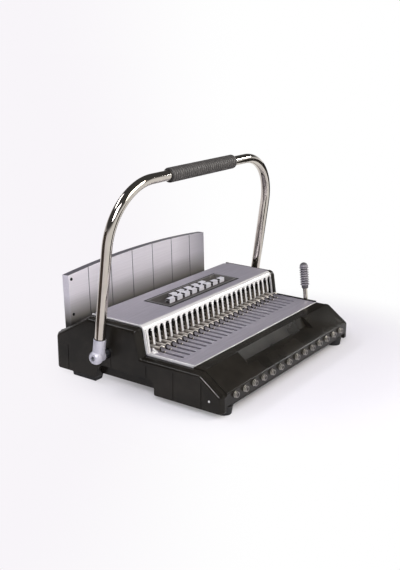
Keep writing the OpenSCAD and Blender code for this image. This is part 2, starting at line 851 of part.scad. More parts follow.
// Pull knob: spool-shaped head on a stem with an end collar
module pull_knob(i) {
    flange = knob_out * 0.3;
    stem_l = shell_t + rail_d + knob_travel + slide_clear;
    color("#c9cacc") translate([knob_x(i), front_y, knob_z]) rotate([90, 0, 0]) rotate_extrude() polygon([
        [0, -stem_l - 3],
        [knob_stem_d / 2 + 2, -stem_l - 3],
        [knob_stem_d / 2 + 2, -stem_l],
        [knob_stem_d / 2, -stem_l],
        [knob_stem_d / 2, slide_clear],
        [knob_d / 2, slide_clear],
        [knob_d / 2, flange],
        [knob_d * 0.34, flange + 0.8],
        [knob_d * 0.34, knob_out - flange - 0.8],
        [knob_d / 2 - 0.6, knob_out - flange],
        [knob_d / 2 - 0.6, knob_out - 0.8],
        [knob_d / 2 - 1.4, knob_out],
        [0, knob_out]]);
}

// Handle: bent tube with two arms, one grip and two hubs
module handle_path(d) {
    run_x = arm_x - handle_bend_r;
    straight = handle_l - handle_bend_r;
    both_sides() {
        translate([arm_x, 0, hub_d / 2 + 2]) cylinder(d = d, h = straight - hub_d / 2 - 2);
        translate([run_x, 0, straight]) rotate([90, 0, 0]) rotate_extrude(angle = 90)
            translate([handle_bend_r, 0]) circle(d = d);
    }
    translate([-run_x, 0, handle_l]) rotate([0, 90, 0]) cylinder(d = d, h = 2 * run_x);
}

module handle_loop() {
    color("#d9d6d0") on_handle() difference() {
        handle_path(tube_d);
        handle_path(tube_d - 2 * tube_t);
    }
}

module handle_grip() {
    rib = grip_l / grip_ribs;
    bore = tube_d / 2 + seat_clear;
    groove = 1.2;
    outline = [for (i = [0:grip_ribs - 1], p = [[0.08, groove], [0.22, 0], [0.78, 0], [0.92, groove]])
        [grip_d / 2 - p[1], (i + p[0]) * rib]];
    color("#58595c") on_handle() translate([-grip_l / 2, 0, handle_l]) rotate([0, 90, 0]) rotate_extrude()
        polygon(concat([[bore, 0], [grip_d / 2 - groove, 0]], outline,
                       [[grip_d / 2 - groove, grip_l], [bore, grip_l]]));
}

module handle_hub() {
    difference() {
        union() {
            translate([arm_x + hub_out, 0, 0]) intersection() {
                sphere(d = hub_d);
                cube([hub_l, 2 * hub_d, 2 * hub_d], center = true);
            }
            translate([arm_x - hub_l / 2 + 1, 0, 0]) rotate([0, 90, 0])
                cylinder(d = sleeve_d - 0.5, h = hub_l / 2);
            translate([arm_x, 0, 0]) cylinder(d = sleeve_d, h = sleeve_l);
        }
        translate([arm_x, 0, hub_d / 2 + 2]) cylinder(d = tube_d + 2 * seat_clear, h = sleeve_l);
        translate([arm_x - hub_l, 0, 0]) rotate([0, 90, 0])
            cylinder(d = shaft_d + 2 * seat_clear, h = 1.25 * hub_l);
        translate([arm_x, 0, 0]) rotate([0, 90, 0]) cylinder(d = screw_d + 1, h = hub_l);
    }
}

module handle_hubs() {
    color("#c4c6cc") on_handle() both_sides() handle_hub();
}

// Screws that hold the hubs on the shaft
module hub_screws() {
    end = arm_x + hub_out + hub_l / 2;
    color("#6d6f75") on_handle() both_sides() difference() {
        translate([arm_x + hub_l / 4 + seat_clear, 0, 0]) rotate([0, 90, 0])
            cylinder(d = screw_d + 1 - 2 * seat_clear, h = end - arm_x - hub_l / 4 - 1);
        translate([end, 0, 0]) cube([4, screw_d, 1.2], center = true);
    }
}

module cross_shaft() {
    color("#a5a8ad") rod_x(shaft_d, -arm_x - hub_l / 4, arm_x + hub_l / 4, shaft_y, pivot_z);
}

// Cam: its flank keeps a flat follower moving in step with the handle's turn
function cam_point(a) =
    (cam_base + cam_rate * a * PI / 180) * [cos(a), -sin(a)] - cam_rate * [sin(a), cos(a)];

module punch_cams() {
    steps = 16;
    flank = [for (i = [0:steps]) cam_point(handle_swing * i / steps)];
    color("#6f7277") both_sides() difference() {
        translate([0, shaft_y, pivot_z]) side_profile(cam_x - cam_t / 2, cam_x + cam_t / 2) {
            circle(r = cam_boss_r);
            polygon(concat([[0, cam_boss_r - 1]], flank, [[-cam_boss_r + 1, 0]]));
        }
        rod_x(shaft_d + 2 * seat_clear, cam_x - cam_t, cam_x + cam_t, shaft_y, pivot_z);
    }
}

// Pressure bar, guided by a tenon in each frame plate
module pressure_bar() {
    tenon_end = frame_x + frame_t;
    color("#6f7277") {
        block([-bar_end, bar_end], [bar_y, bar_y + bar_d], [bar_low, bar_low + bar_h]);
        both_sides() block([bar_end - eps, tenon_end], span(bar_y, tenon_d), span(punch_tenon_z, tenon_h));
    }
}

module punch_pins() {
    tip = throat_y - shell_t - 1;
    color("#b6b8bc") for (i = [0:comb_fit - 1]) {
        block(around(comb_x(i), pin_w / 2), [bar_y + bar_d, tip], around(pin_z, pin_h / 2));
    }
}

// Small lever: rod with a boss, grip, and a crank on its shaft
module lever_rod() {
    color("#d9d6d0") difference() {
        union() {
            on_lever() cylinder(d = lever_rod_d, h = grip_start + lever_grip_l - 12);
            rod_x(lever_boss_d, lever_x - lever_rod_d / 2 - 0.5, lever_x + lever_rod_d / 2 + 0.5,
                  lever_y, lever_z);
        }
        rod_x(lever_shaft_d + 2 * seat_clear, lever_x - lever_rod_d, lever_x + lever_rod_d, lever_y, lever_z);
    }
}

module lever_grip() {
    ribs = 8;
    collar = 12;
    dome = lever_grip_d / 2;
    rib = (lever_grip_l - collar - dome) / ribs;
    groove = 0.8;
    r = lever_grip_d / 2;
    bore = lever_rod_d / 2 + seat_clear;
    outline = [for (i = [0:ribs - 1], p = [[0, groove], [0.2, 0], [0.8, 0], [1, groove]])
        [r - p[1], collar + (i + p[0]) * rib]];
    color("#58595c") on_lever() translate([0, 0, grip_start]) rotate_extrude() difference() {
        polygon(concat(
            [[0, 0], [bore + 1.5, 0], [r - groove, collar - 3]],
            outline,
            arc([0, lever_grip_l - dome], dome - groove, 0, 90, 10)));
        translate([-1, -1]) square([bore + 1, lever_grip_l - 11 + seat_clear]);
    }
}

module lever_crank() {
    reach = drive_h / cos(lever_swing / 2) + 1.5;
    slot_w = drive_pin_d + 2 * drive_play;
    half = lever_z - pan_top - 2 * slide_clear;
    color("#8d9096") {
        rod_x(lever_shaft_d, crank_x + crank_t - eps, lever_x + lever_rod_d / 2, lever_y, lever_z);
        translate([0, lever_y, lever_z]) rotate([-lever_swing / 2, 0, 0])
            side_profile(crank_x, crank_x + crank_t) {
            circle(r = half);
            difference() {
                translate([-half + 1, 0]) square([2 * half - 2, reach]);
                translate([-slot_w / 2, drive_h - drive_pin_d]) square([slot_w, reach]);
            }
        }
    }
}

// Hook carriage: bar with guide tenons and an arm down to the lever's crank
module hook_bar() {
    tenon_end = frame_x + frame_t;
    arm_low = drive_z - arm_h / 2;
    color("#8d9096") {
        block([-bar_end, bar_end], span(hook_bar_y, hook_bar_d), span(hook_bar_z, hook_bar_h));
        both_sides() block([bar_end - eps, tenon_end],
                           span(hook_bar_y, tenon_d), span(hook_tenon_z, tenon_h));
        block([arm_in, arm_in + arm_t], [drive_y - arm_h / 2, hook_bar_y + hook_bar_d], span(arm_low, arm_h));
        block([arm_in, arm_in + arm_t], [hook_bar_y, hook_bar_y + hook_bar_d], [arm_low, hook_bar_z + 1]);
        rod_x(drive_pin_d, arm_in + 1, crank_x + crank_t, drive_y, drive_z);
    }
}

// Hooks: round claws that open to the front, on long flat necks
module comb_hook() {
    mouth = 3 * hook_r;
    difference() {
        union() {
            translate([hook_y, hook_z]) circle(r = hook_r);
            translate([hook_y, neck_z]) square([hook_bar_y - hook_y, neck_h]);
        }
        translate([hook_y, hook_z]) circle(r = hook_in_r);
        translate([hook_y, hook_z]) polygon([
            [0, 0],
            mouth * [-cos(mouth_high), sin(mouth_high)],
            [-mouth, 0],
            mouth * [-cos(mouth_low), -sin(mouth_low)]]);
    }
}

module comb_hooks() {
    color("#e8e6e0") for (i = [0:comb_fit - 1]) {
        side_profile(comb_x(i) - hook_t / 2, comb_x(i) + hook_t / 2) comb_hook();
    }
}

// Chip tray: open box that slides out at the rear
module chip_tray() {
    wall = 2;
    low = pan_top + slide_clear;
    color("#1c1c1e") difference() {
        block([-chip_w / 2, chip_w / 2], [rear_y - chip_d, rear_y], [low, chip_top]);
        block([-chip_w / 2 + wall, chip_w / 2 - wall],
              [rear_y - chip_d + wall, rear_y - shell_t - 1], [low + wall, chip_top + 1]);
        block([-30, 30], [rear_y - shell_t, rear_y + 1], [low - 1, low + 6]);
    }
}

base_pan();
left_side_cover();
right_side_cover();
front_cover();
rear_cover();
top_deck();
comb_wall();
comb_tines();
end_stop();
lower_deck();
selector_tray();
paper_support();
cover_screws();
feet();
frame_plates();
pin_guide();
die_plate();
shaft_bushes();
knob_rail();
handle_loop();
handle_grip();
handle_hubs();
hub_screws();
cross_shaft();
punch_cams();
pressure_bar();
punch_pins();
lever_rod();
lever_grip();
lever_crank();
hook_bar();
comb_hooks();
chip_tray();
for (i = [1:key_front_count]) {
    selector_key(key_front_x(i), key_y);
}
for (i = [1:key_rear_count]) {
    selector_key(key_rear_x(i), key_y + key_row_gap);
}
for (i = [1:knob_count]) {
    pull_knob(i);
}
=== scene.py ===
"""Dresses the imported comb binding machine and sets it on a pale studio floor."""

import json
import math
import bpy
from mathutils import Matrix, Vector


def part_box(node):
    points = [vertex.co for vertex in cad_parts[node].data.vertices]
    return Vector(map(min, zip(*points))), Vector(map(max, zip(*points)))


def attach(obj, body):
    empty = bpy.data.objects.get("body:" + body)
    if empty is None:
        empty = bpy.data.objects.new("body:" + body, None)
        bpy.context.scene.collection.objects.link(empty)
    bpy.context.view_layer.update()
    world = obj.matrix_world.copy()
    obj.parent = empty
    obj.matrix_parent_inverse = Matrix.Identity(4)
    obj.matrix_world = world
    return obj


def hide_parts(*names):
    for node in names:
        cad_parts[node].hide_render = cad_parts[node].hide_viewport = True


bl_info = {
    "name": "Comb Binding Machine",
    "version": (1, 0, 0),
    "blender": (4, 5, 0),
    "location": "3D View > Sidebar > Binding Machine",
    "description": "Builds the visible pieces of a comb punching and binding machine on its packed frame",
    "category": "Object",
}

import bmesh
import bpy
from bpy.props import FloatProperty, FloatVectorProperty, IntProperty, PointerProperty
from mathutils import Matrix, Vector

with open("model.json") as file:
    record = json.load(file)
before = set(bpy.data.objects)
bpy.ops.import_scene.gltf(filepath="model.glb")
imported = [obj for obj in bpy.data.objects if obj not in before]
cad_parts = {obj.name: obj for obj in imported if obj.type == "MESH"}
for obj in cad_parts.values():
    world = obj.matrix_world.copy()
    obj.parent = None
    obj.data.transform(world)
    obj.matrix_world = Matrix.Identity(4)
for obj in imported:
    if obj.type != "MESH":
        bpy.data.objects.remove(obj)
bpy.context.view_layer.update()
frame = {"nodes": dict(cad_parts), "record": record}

MM = 0.001


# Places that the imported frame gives, in metres
def low(node):
    return Vector(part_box(node)[0])


def high(node):
    return Vector(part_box(node)[1])


def across_middle(node):
    return (low(node).x + high(node).x) / 2


def joint_place(name):
    for joint in frame["record"]["behaviour"]["joints"]:
        if joint["name"] == name:
            return Vector(joint["pos_m"])
    raise RuntimeError("no joint named " + name)


# Places on the frame, and sizes and leans of the solids that it does not give
LOWER_DEPTH = 84 * MM
LOWER_Y = low("lower_deck").y
WALL_Y = LOWER_Y + LOWER_DEPTH
LOWER_Z = low("comb_wall").z
UPPER_Z = high("comb_wall").z
UPPER_Y = high("comb_wall").y
DECK_Y = high("top_deck").y
REAR_Y = high("rear_cover").y
FRONT_Y = low("front_cover").y
HALF_DECK = high("lower_deck").x
OUTER_X = high("right_side_cover").x
PIVOT = joint_place("handle_swing")
LEVER = joint_place("lever_swing")
LEVER_X = across_middle("lever_grip")
WALL_LEAN = math.radians(9)
HANDLE_LEAN = math.radians(7.5)
LEVER_LEAN = math.radians(6.4)
PANEL_LEAN = math.radians(2)
STRIP_DEPTH = 20 * MM
COVER_DROP = 2 * MM
REAR_TOP = 66 * MM
COMB_PITCH = 14.2875 * MM
COMB_COUNT = 24
FIRST_COMB = -(COMB_COUNT - 1) / 2 * COMB_PITCH
COMB_ROW = (COMB_COUNT, (COMB_PITCH, 0, 0))
GROOVE_PITCH = 54.6 * MM
GROOVE_WIDTH = 2 * MM
HOOK_Y = WALL_Y - 12.5 * MM
HOOK_Z = LOWER_Z + 3.6 * MM
KNOB_PITCH = low("pull_knob_2").x - low("pull_knob_1").x
KNOB_Z = (low("pull_knob_1").z + high("pull_knob_1").z) / 2
LEVER_GRIP_R = 8 * MM
TUBE_FOOT = 12.75 * MM
WELD = 0.002 * MM
SHARP = 35
STAGE_LEFT = (-0.574, 0.819, 0.0)
SIDES = ((-1, "left"), (1, "right"))
QUARTER = math.pi / 2
ON_WALL = Matrix.Translation((0, WALL_Y, LOWER_Z)) @ Matrix.Rotation(-WALL_LEAN, 4, "X")
ON_HANDLE = Matrix.Translation(PIVOT) @ Matrix.Rotation(HANDLE_LEAN, 4, "X")

# Kinds and names of nodes, and where a noise turns from its darker to its lighter tone
NOISE = "ShaderNodeTexNoise"
MATH = "ShaderNodeMath"
VECTOR_MATH = "ShaderNodeVectorMath"
MAP_RANGE = "ShaderNodeMapRange"
SEPARATE = "ShaderNodeSeparateXYZ"
EVEN = (0.35, 0.65)
SHADER = "Principled BSDF"
OUTPUT = "Material Output"


def linear(hex_colour):
    """An sRGB hex colour as linear red, green and blue."""
    parts = [int(hex_colour[i:i + 2], 16) / 255 for i in (1, 3, 5)]
    return tuple(c / 12.92 if c <= 0.04045 else ((c + 0.055) / 1.055) ** 2.4 for c in parts)


def scaled(colour, factor):
    """A colour made darker or lighter."""
    return tuple(c * factor for c in colour)


def per_mm(size):
    """The scale of a texture whose features are this many millimetres across."""
    return 1000.0 / size


# Sizes and colours that a user would change
def length_property(name, words, size):
    return FloatProperty(name=name, description=words, default=size, unit="LENGTH")


def colour_property(name, words, hex_colour):
    return FloatVectorProperty(
        name=name, description=words, subtype="COLOR", size=3, default=linear(hex_colour))


class BinderSizes(bpy.types.PropertyGroup):
    edge_round: length_property("Sheet edge", "Rounding of sheet edges", 0.6 * MM)
    cover_round: length_property("Cover edge", "Width of the side covers' bevelled edges", 8.5 * MM)
    tube_d: length_property("Handle tube", "Diameter of the handle's tube", 16 * MM)
    bend_r: length_property("Handle bend", "Radius of the handle's bends", 90 * MM)
    handle_l: length_property("Handle length", "Pivot to cross bar", 259 * MM)
    grip_d: length_property("Grip", "Diameter of the handle's grip", 23 * MM)
    grip_ribs: IntProperty(name="Grip ribs", description="Ribs on the handle's grip", default=31, min=4)
    tine_w: length_property("Tine width", "Width of a comb tine", 5 * MM)
    tine_depth: length_property("Tine depth", "Front-to-back depth of a tine", 4.5 * MM)
    hook_r: length_property("Hook", "Outer radius of a hook", 6.2 * MM)
    hook_in_r: length_property("Hook inside", "Inner radius of a hook", 3.5 * MM)
    hook_t: length_property("Hook plate", "Thickness of a hook", 2.2 * MM)
    screw_d: length_property("Screw head", "Diameter of a screw head", 5 * MM)


class BinderColours(bpy.types.PropertyGroup):
    abs_dark: colour_property("Moulded black", "Darker tone of the covers", "#1c1a16")
    abs_light: colour_property("Moulded black sheen", "Lighter tone of the covers", "#282520")
    enamel_dark: colour_property("Enamel", "Darker tone of the decks", "#9d99a2")
    enamel_light: colour_property("Enamel flake", "Lighter tone of the decks", "#aba7b0")
    plating: colour_property("Plating", "Bright comb wall and tines", "#f4f3f0")
    chrome: colour_property("Chrome", "Handle tube and lever rod", "#c8c1b8")
    grip: colour_property("Grip", "Ribbed handle grip", "#4e4b48")
    lever: colour_property("Lever grip", "Ribbed lever grip", "#938f95")
    tray: colour_property("Tray", "Key tray", "#3d3936")
    keys: colour_property("Keys", "Selector keys", "#dcdbe0")
    knobs: colour_property("Knobs", "Pull knobs", "#a5a19a")
    casting: colour_property("Casting", "Pivot hubs", "#c8c7cf")
    floor: colour_property("Floor", "Studio floor", "#f7f6f9")


# Small helpers for node trees
def add(tree, kind, values=None, links=None):
    """Adds a node, sets its sockets or settings, and links sources to its inputs."""
    node = tree.nodes.new(kind)
    for key, value in (values or {}).items():
        if isinstance(key, int) or key in node.inputs:
            node.inputs[key].default_value = value
        else:
            setattr(node, key, value)
    for key, source in (links or {}).items():
        tree.links.new(source, node.inputs[key])
    return node


def blank_material(name, *noises):
    """A material with a plain shader, its object coordinates and its noises.

    A noise is given by the size of its features in millimetres, its detail and, where it is
    drawn out, the scale along each axis.
    """
    material = bpy.data.materials.new(name)
    material.use_nodes = True
    tree = material.node_tree
    tree.nodes.clear()
    shader = add(tree, "ShaderNodeBsdfPrincipled", {"name": SHADER})
    add(tree, "ShaderNodeOutputMaterial", {"name": OUTPUT}, {"Surface": shader.outputs["BSDF"]})
    place = add(tree, "ShaderNodeTexCoord").outputs["Object"]
    factors = []
    for size, detail, *stretch in noises:
        spot = place
        for scale in stretch:
            spot = add(tree, "ShaderNodeMapping", {"Scale": scale}, {"Vector": place}).outputs["Vector"]
        values = {"Scale": per_mm(size), "Detail": detail}
        factors.append(add(tree, NOISE, values, {"Vector": spot}).outputs["Fac"])
    return material, tree, place, *factors


def blend(tree, value, start, end, first, second):
    """The first colour where a value is below the start, turning into the second at the end."""
    share = add(tree, MAP_RANGE, {"From Min": start, "From Max": end}, {"Value": value})
    mix = add(tree, "ShaderNodeMix", {"data_type": "RGBA"}, {0: share.outputs["Result"]})
    for socket, colour in ((mix.inputs[6], first), (mix.inputs[7], second)):
        if isinstance(colour, bpy.types.NodeSocket):
            tree.links.new(colour, socket)
        else:
            socket.default_value = (*colour, 1.0)
    return mix.outputs[2]


def facing(tree, axis):
    """1 on faces that look along an object axis either way, 0 on faces that look across it."""
    normal = add(tree, "ShaderNodeTexCoord").outputs["Normal"]
    across = add(tree, SEPARATE, links={"Vector": normal}).outputs[axis]
    return add(tree, MATH, {"operation": "ABSOLUTE"}, {0: across}).outputs[0]


def from_axis(tree, place, centre, axis):
    """The distance of a place from the line through a centre along an axis."""
    offset = add(tree, VECTOR_MATH, {"operation": "SUBTRACT", 1: centre}, {0: place}).outputs["Vector"]
    arm = add(tree, VECTOR_MATH, {"operation": "CROSS_PRODUCT", 1: axis}, {0: offset}).outputs["Vector"]
    return add(tree, VECTOR_MATH, {"operation": "LENGTH"}, {0: arm}).outputs["Value"]


def pitch_share(tree, across, pitch):
    """How far a place lies along its own pitch, from 0 to 1; ten whole pitches keep it positive."""
    turns = add(tree, MATH, {"operation": "MULTIPLY_ADD", 1: 1 / pitch, 2: 10.0}, {0: across}).outputs[0]
    return add(tree, MATH, {"operation": "FRACT"}, {0: turns}).outputs[0]


def coated(material, colour, rough, metallic=0.0, bump=None):
    """Gives a material's shader a colour, a roughness, a share of metal and a bump."""
    tree = material.node_tree
    shader = tree.nodes[SHADER]
    tree.links.new(colour, shader.inputs["Base Color"])
    if isinstance(rough, float):
        shader.inputs["Roughness"].default_value = rough
    else:
        pattern, smooth, dull = rough
        spread = add(tree, MAP_RANGE, {"To Min": smooth, "To Max": dull}, {"Value": pattern})
        tree.links.new(spread.outputs["Result"], shader.inputs["Roughness"])
    shader.inputs["Metallic"].default_value = metallic
    if bump is not None:
        height, strength, depth = bump
        relief = add(tree, "ShaderNodeBump", {"Strength": strength, "Distance": depth}, {"Height": height})
        tree.links.new(relief.outputs["Normal"], shader.inputs["Normal"])
    return material


finishes = {}


def finish(name):
    """The material of this name, made once."""
    if name not in finishes:
        finishes[name] = FINISH_MAKERS[name](bpy.context.scene.binder_colours)
    return finishes[name]


# Moulded ABS: a fine spark-eroded grain breaks up its satin gloss
def moulded_abs(colours):
    material, tree, _, grain, cloud = blank_material("Moulded black ABS", (0.7, 3.0), (45, 4.0))
    tone = blend(tree, cloud, *EVEN, colours.abs_dark, colours.abs_light)
    tree.nodes[SHADER].inputs["Specular IOR Level"].default_value = 0.16
    return coated(material, tone, (cloud, 0.17, 0.25), bump=(grain, 0.05, 0.05 * MM))


# Silver enamel: aluminium flakes in a lilac-grey coat, with fine lines along the sheet
def silver_enamel(colours):
    # The brushed lines are drawn 1.2 mm apart so that they show in the render
    material, tree, place, lines = blank_material("Silver enamel", (1.2, 4.0, (0.03, 1.0, 1.0)))
    flake = add(tree, "ShaderNodeTexVoronoi", {"Scale": per_mm(0.5)}, {"Vector": place}).outputs["Distance"]
    tone = blend(tree, lines, *EVEN, colours.enamel_dark, colours.enamel_light)
    return coated(material, tone, (flake, 0.36, 0.5), 0.3, (lines, 0.08, 0.05 * MM))


# Brushed panel: a silver sheet brushed along its length, with painted shade towards the deck, at its right
# end, in its grooves and on its top and bottom faces
def brushed_panel(colours):
    # Brush strokes are drawn 1.5 mm wide so that they show in the render
    material, tree, place, stroke, cloud = blank_material(
        "Brushed silver panel", (1.5, 5.0, (0.02, 1.0, 1.0)), (70, 2.0))
    tone = blend(tree, stroke, *EVEN, linear("#dcd8de"), linear("#e4e0e6"))
    parts = add(tree, SEPARATE, links={"Vector": place}).outputs
    end = high("paper_support").x
    # Painted shade: the sheet darkens over its last 90 mm towards the right end
    wide = blend(tree, parts["X"], end - 90 * MM, end, tone, linear("#a9a6ae"))
    foot, shaded, clear = UPPER_Z - 28 * MM, UPPER_Z - 18 * MM, UPPER_Z + 19 * MM
    # Painted shadow: the sheet turns near black towards the deck
    base = blend(tree, parts["Z"], foot, shaded, linear("#1f1c19"), linear("#7c7975"))
    sheet = blend(tree, parts["Z"], shaded, clear, base, wide)
    # Painted shade darkens the grooves, which stand at an even pitch
    share = pitch_share(tree, parts["X"], GROOVE_PITCH)
    offset = add(tree, MATH, {"operation": "SUBTRACT", 1: 0.5}, {0: share})
    away = add(tree, MATH, {"operation": "ABSOLUTE"}, {0: offset.outputs[0]})
    edge = GROOVE_WIDTH / 2 / GROOVE_PITCH
    groove_shade = blend(tree, away.outputs[0], edge * 0.7, edge * 1.1, linear("#5a585c"), sheet)
    # Painted shade darkens the faces that look up or down
    folded = blend(tree, facing(tree, "Z"), 0.7, 0.95, groove_shade, linear("#66636a"))
    return coated(material, folded, (cloud, 0.34, 0.46), 0.2, (stroke, 0.05, 0.05 * MM))


# Nickel plating: bright satin, with hairline scratches down the wall
def nickel_plating(colours):
    material, tree, _, hair = blank_material("Satin nickel plating", (0.8, 3.0, (1.0, 1.0, 0.05)))
    tone = blend(tree, hair, *EVEN, scaled(colours.plating, 0.95), colours.plating)
    return coated(material, tone, (hair, 0.18, 0.28), 0.25, (hair, 0.05, 0.03 * MM))


# Punched plating: bright faces, and sheared sides with a painted reflection, near black at the root and
# clearing towards the tips
def punched_plating(colours):
    material, tree, place, hair = blank_material("Punched nickel-plated sheet", (1.0, 3.0))
    tone = blend(tree, hair, *EVEN, scaled(colours.plating, 0.95), colours.plating)
    height = add(tree, SEPARATE, links={"Vector": place}).outputs["Z"]
    tip, root = LOWER_Z + 7 * MM, LOWER_Z + 28 * MM
    # Painted reflection on the sides: near black at the root, pale towards the tip as if mirroring the
    # hooks below
    tine_side_reflection = blend(tree, height, tip, root, linear("#b3a592"), linear("#1c1916"))
    coat = blend(tree, facing(tree, "X"), 0.75, 0.95, tone, tine_side_reflection)
    return coated(material, coat, (hair, 0.16, 0.26), 0.5)


# Barrel-plated hooks: warm bright rings with marks from tumbling, a painted dark reflection low on their
# sides, and painted shade in their bores
def barrel_plating(colours):
    material, tree, place, marks = blank_material("Barrel-plated hooks", (2.0, 4.0))
    tone = blend(tree, marks, *EVEN, linear("#e6dfd1"), linear("#f6f1e7"))
    reach = from_axis(tree, place, (0, HOOK_Y, HOOK_Z), (1, 0, 0))
    height = add(tree, SEPARATE, links={"Vector": place}).outputs["Z"]
    # Painted dark reflection on the sides of the hooks near the deck
    hook_low_reflection = blend(tree, height, LOWER_Z + 2.5 * MM, LOWER_Z + 6.5 * MM, linear("#6e6355"), tone)
    skin = blend(tree, facing(tree, "X"), 0.75, 0.95, tone, hook_low_reflection)
    # Painted shade: the bore and the face just round it turn near black
    coat = blend(tree, reach, 4.7 * MM, 5.0 * MM, linear("#0f0d0b"), skin)
    return coated(material, coat, (marks, 0.28, 0.4), 0.25)


# Chrome plating: mirror bright, dulled here and there by handling
def chrome_plating(colours):
    material, tree, _, haze = blank_material("Chrome-plated tube", (25, 5.0))
    tone = blend(tree, haze, *EVEN, scaled(colours.chrome, 0.92), colours.chrome)
    return coated(material, tone, (haze, 0.04, 0.08), 1.0)


# Grey vinyl: matte ribs, paler where hands have rubbed them, with painted shade in the grooves
def vinyl(name, colour, centre, axis, radius, groove):
    material, tree, place, worn, grain = blank_material(name, (14, 4.0), (0.6, 2.0))
    tone = blend(tree, worn, *EVEN, scaled(colour, 0.9), scaled(colour, 1.2))
    reach, start = from_axis(tree, place, centre, axis), radius - groove
    # Painted shade: the deeper a place lies below the crest of the ribs, the darker it is
    coat = blend(tree, reach, start, start + 1 * MM, scaled(colour, 0.3), tone)
    return coated(material, coat, (worn, 0.45, 0.62), bump=(grain, 0.2, 0.1 * MM))


# Handle grip: the darker grey
def grip_vinyl(colours):
    centre = (low("handle_grip") + high("handle_grip")) / 2
    radius = bpy.context.scene.binder_sizes.grip_d / 2
    return vinyl("Grey vinyl grip", colours.grip, centre, (1, 0, 0), radius, 1.2 * MM)


# Lever grip: a paler grey
def lever_vinyl(colours):
    centre = (LEVER_X, LEVER.y, LEVER.z)
    axis = (0, math.sin(LEVER_LEAN), math.cos(LEVER_LEAN))
    return vinyl("Pale grey vinyl grip", colours.lever, centre, axis, LEVER_GRIP_R, 2.0 * MM)


# Dark grey polypropylene: matte tray with a coarse moulded grain and a paler rim
def tray_plastic(colours):
    material, tree, place, grain, cloud = blank_material("Dark grey moulded tray", (0.9, 3.0), (30, 3.0))
    tone = blend(tree, cloud, *EVEN, scaled(colours.tray, 0.85), scaled(colours.tray, 1.1))
    height = add(tree, SEPARATE, links={"Vector": place}).outputs["Z"]
    coat = blend(tree, height, UPPER_Z + 0.3 * MM, UPPER_Z + 0.7 * MM, tone, linear("#605e5c"))
    return coated(material, coat, (grain, 0.4, 0.55), bump=(grain, 0.15, 0.1 * MM))


# Silver-sprayed ABS: silver tops and fronts, and painted shade on the sides
def key_coat(colours):
    material, tree, _, flake, rub = blank_material("Silver-sprayed ABS keys", (0.5, 2.0), (9, 3.0))
    tone = blend(tree, rub, *EVEN, scaled(colours.keys, 0.9), colours.keys)
    # Painted shade: faces that look sideways along X turn dark
    coat = blend(tree, facing(tree, "X"), 0.55, 0.9, tone, linear("#35322f"))
    return coated(material, coat, (flake, 0.28, 0.42))


# Turned aluminium: fine tool marks ring each knob, and painted shade darkens the hollow in its face and its
# stem
def turned_aluminium(colours):
    material, tree, place = blank_material("Turned aluminium knobs")
    # The tool marks are drawn 0.8 mm apart so that they show in the render
    wave = {"bands_direction": "Y", "Scale": per_mm(0.8) / math.tau, "Distortion": 0.4}
    ring = add(tree, "ShaderNodeTexWave", wave, {"Vector": place}).outputs["Fac"]
    tone = blend(tree, ring, 0.1, 0.9, scaled(colours.knobs, 0.8), colours.knobs)
    # The distance from the nearest knob's axis
    parts = add(tree, SEPARATE, links={"Vector": place}).outputs
    share = pitch_share(tree, parts["X"], KNOB_PITCH)
    across = add(tree, MATH, {"operation": "MULTIPLY_ADD", 1: KNOB_PITCH, 2: -KNOB_PITCH / 2}, {0: share})
    rise = add(tree, MATH, {"operation": "SUBTRACT", 1: KNOB_Z}, {0: parts["Z"]})
    spot = add(tree, "ShaderNodeCombineXYZ", links={"X": across.outputs[0], "Z": rise.outputs[0]})
    reach = add(tree, VECTOR_MATH, {"operation": "LENGTH"}, {0: spot.outputs["Vector"]})
    # Painted shade: everything within 2.6 mm of a knob's axis turns dark
    coat = blend(tree, reach.outputs["Value"], 2.6 * MM, 3.0 * MM, linear("#2e2b27"), tone)
    return coated(material, coat, (ring, 0.22, 0.34), 1.0)


# Die-cast zinc under silver lacquer: soft sheen over a faint cast skin
def lacquered_casting(colours):
    material, tree, _, skin = blank_material("Lacquered zinc casting", (1.5, 4.0))
    tone = blend(tree, skin, *EVEN, scaled(colours.casting, 0.92), colours.casting)
    return coated(material, tone, (skin, 0.36, 0.48), 0.2, (skin, 0.1, 0.1 * MM))


# Ground steel: the inner plates and bars carry straight grinding lines
def ground_steel(colours):
    material, tree, _, lines = blank_material("Ground steel", (1.0, 4.0, (0.05, 1.0, 1.0)))
    tone = blend(tree, lines, *EVEN, linear("#6d7076"), linear("#94979d"))
    return coated(material, tone, (lines, 0.3, 0.45), 1.0)


# Sintered bronze: porous, oil-dark bushes
def sintered_bronze(colours):
    material, tree, place = blank_material("Sintered bronze")
    pore = add(tree, "ShaderNodeTexVoronoi", {"Scale": per_mm(0.8)}, {"Vector": place}).outputs["Distance"]
    tone = blend(tree, pore, 0.1, 0.5, linear("#6b4f28"), linear("#a8854f"))
    return coated(material, tone, 0.4, 1.0)


# Black oxide: a thin dull skin that wears grey in places
def black_oxide(colours):
    material, tree, _, worn = blank_material("Black oxide screws", (1.5, 4.0))
    tone = blend(tree, worn, 0.4, 0.75, linear("#0d0d0e"), linear("#2b2b2d"))
    return coated(material, tone, (worn, 0.35, 0.5), 0.8)


# Moulded rubber: matte feet and seals with a dusty bloom
def foot_rubber(colours):
    material, tree, _, bloom = blank_material("Black rubber feet", (8, 5.0))
    tone = blend(tree, bloom, *EVEN, linear("#0d0d0e"), linear("#1d1d1e"))
    return coated(material, tone, (bloom, 0.6, 0.8))


FINISH_MAKERS = {maker.__name__: maker for maker in (
    moulded_abs, silver_enamel, brushed_panel, nickel_plating, punched_plating, barrel_plating,
    chrome_plating, grip_vinyl, lever_vinyl, tray_plastic, key_coat, turned_aluminium,
    lacquered_casting, ground_steel, sintered_bronze, black_oxide, foot_rubber)}


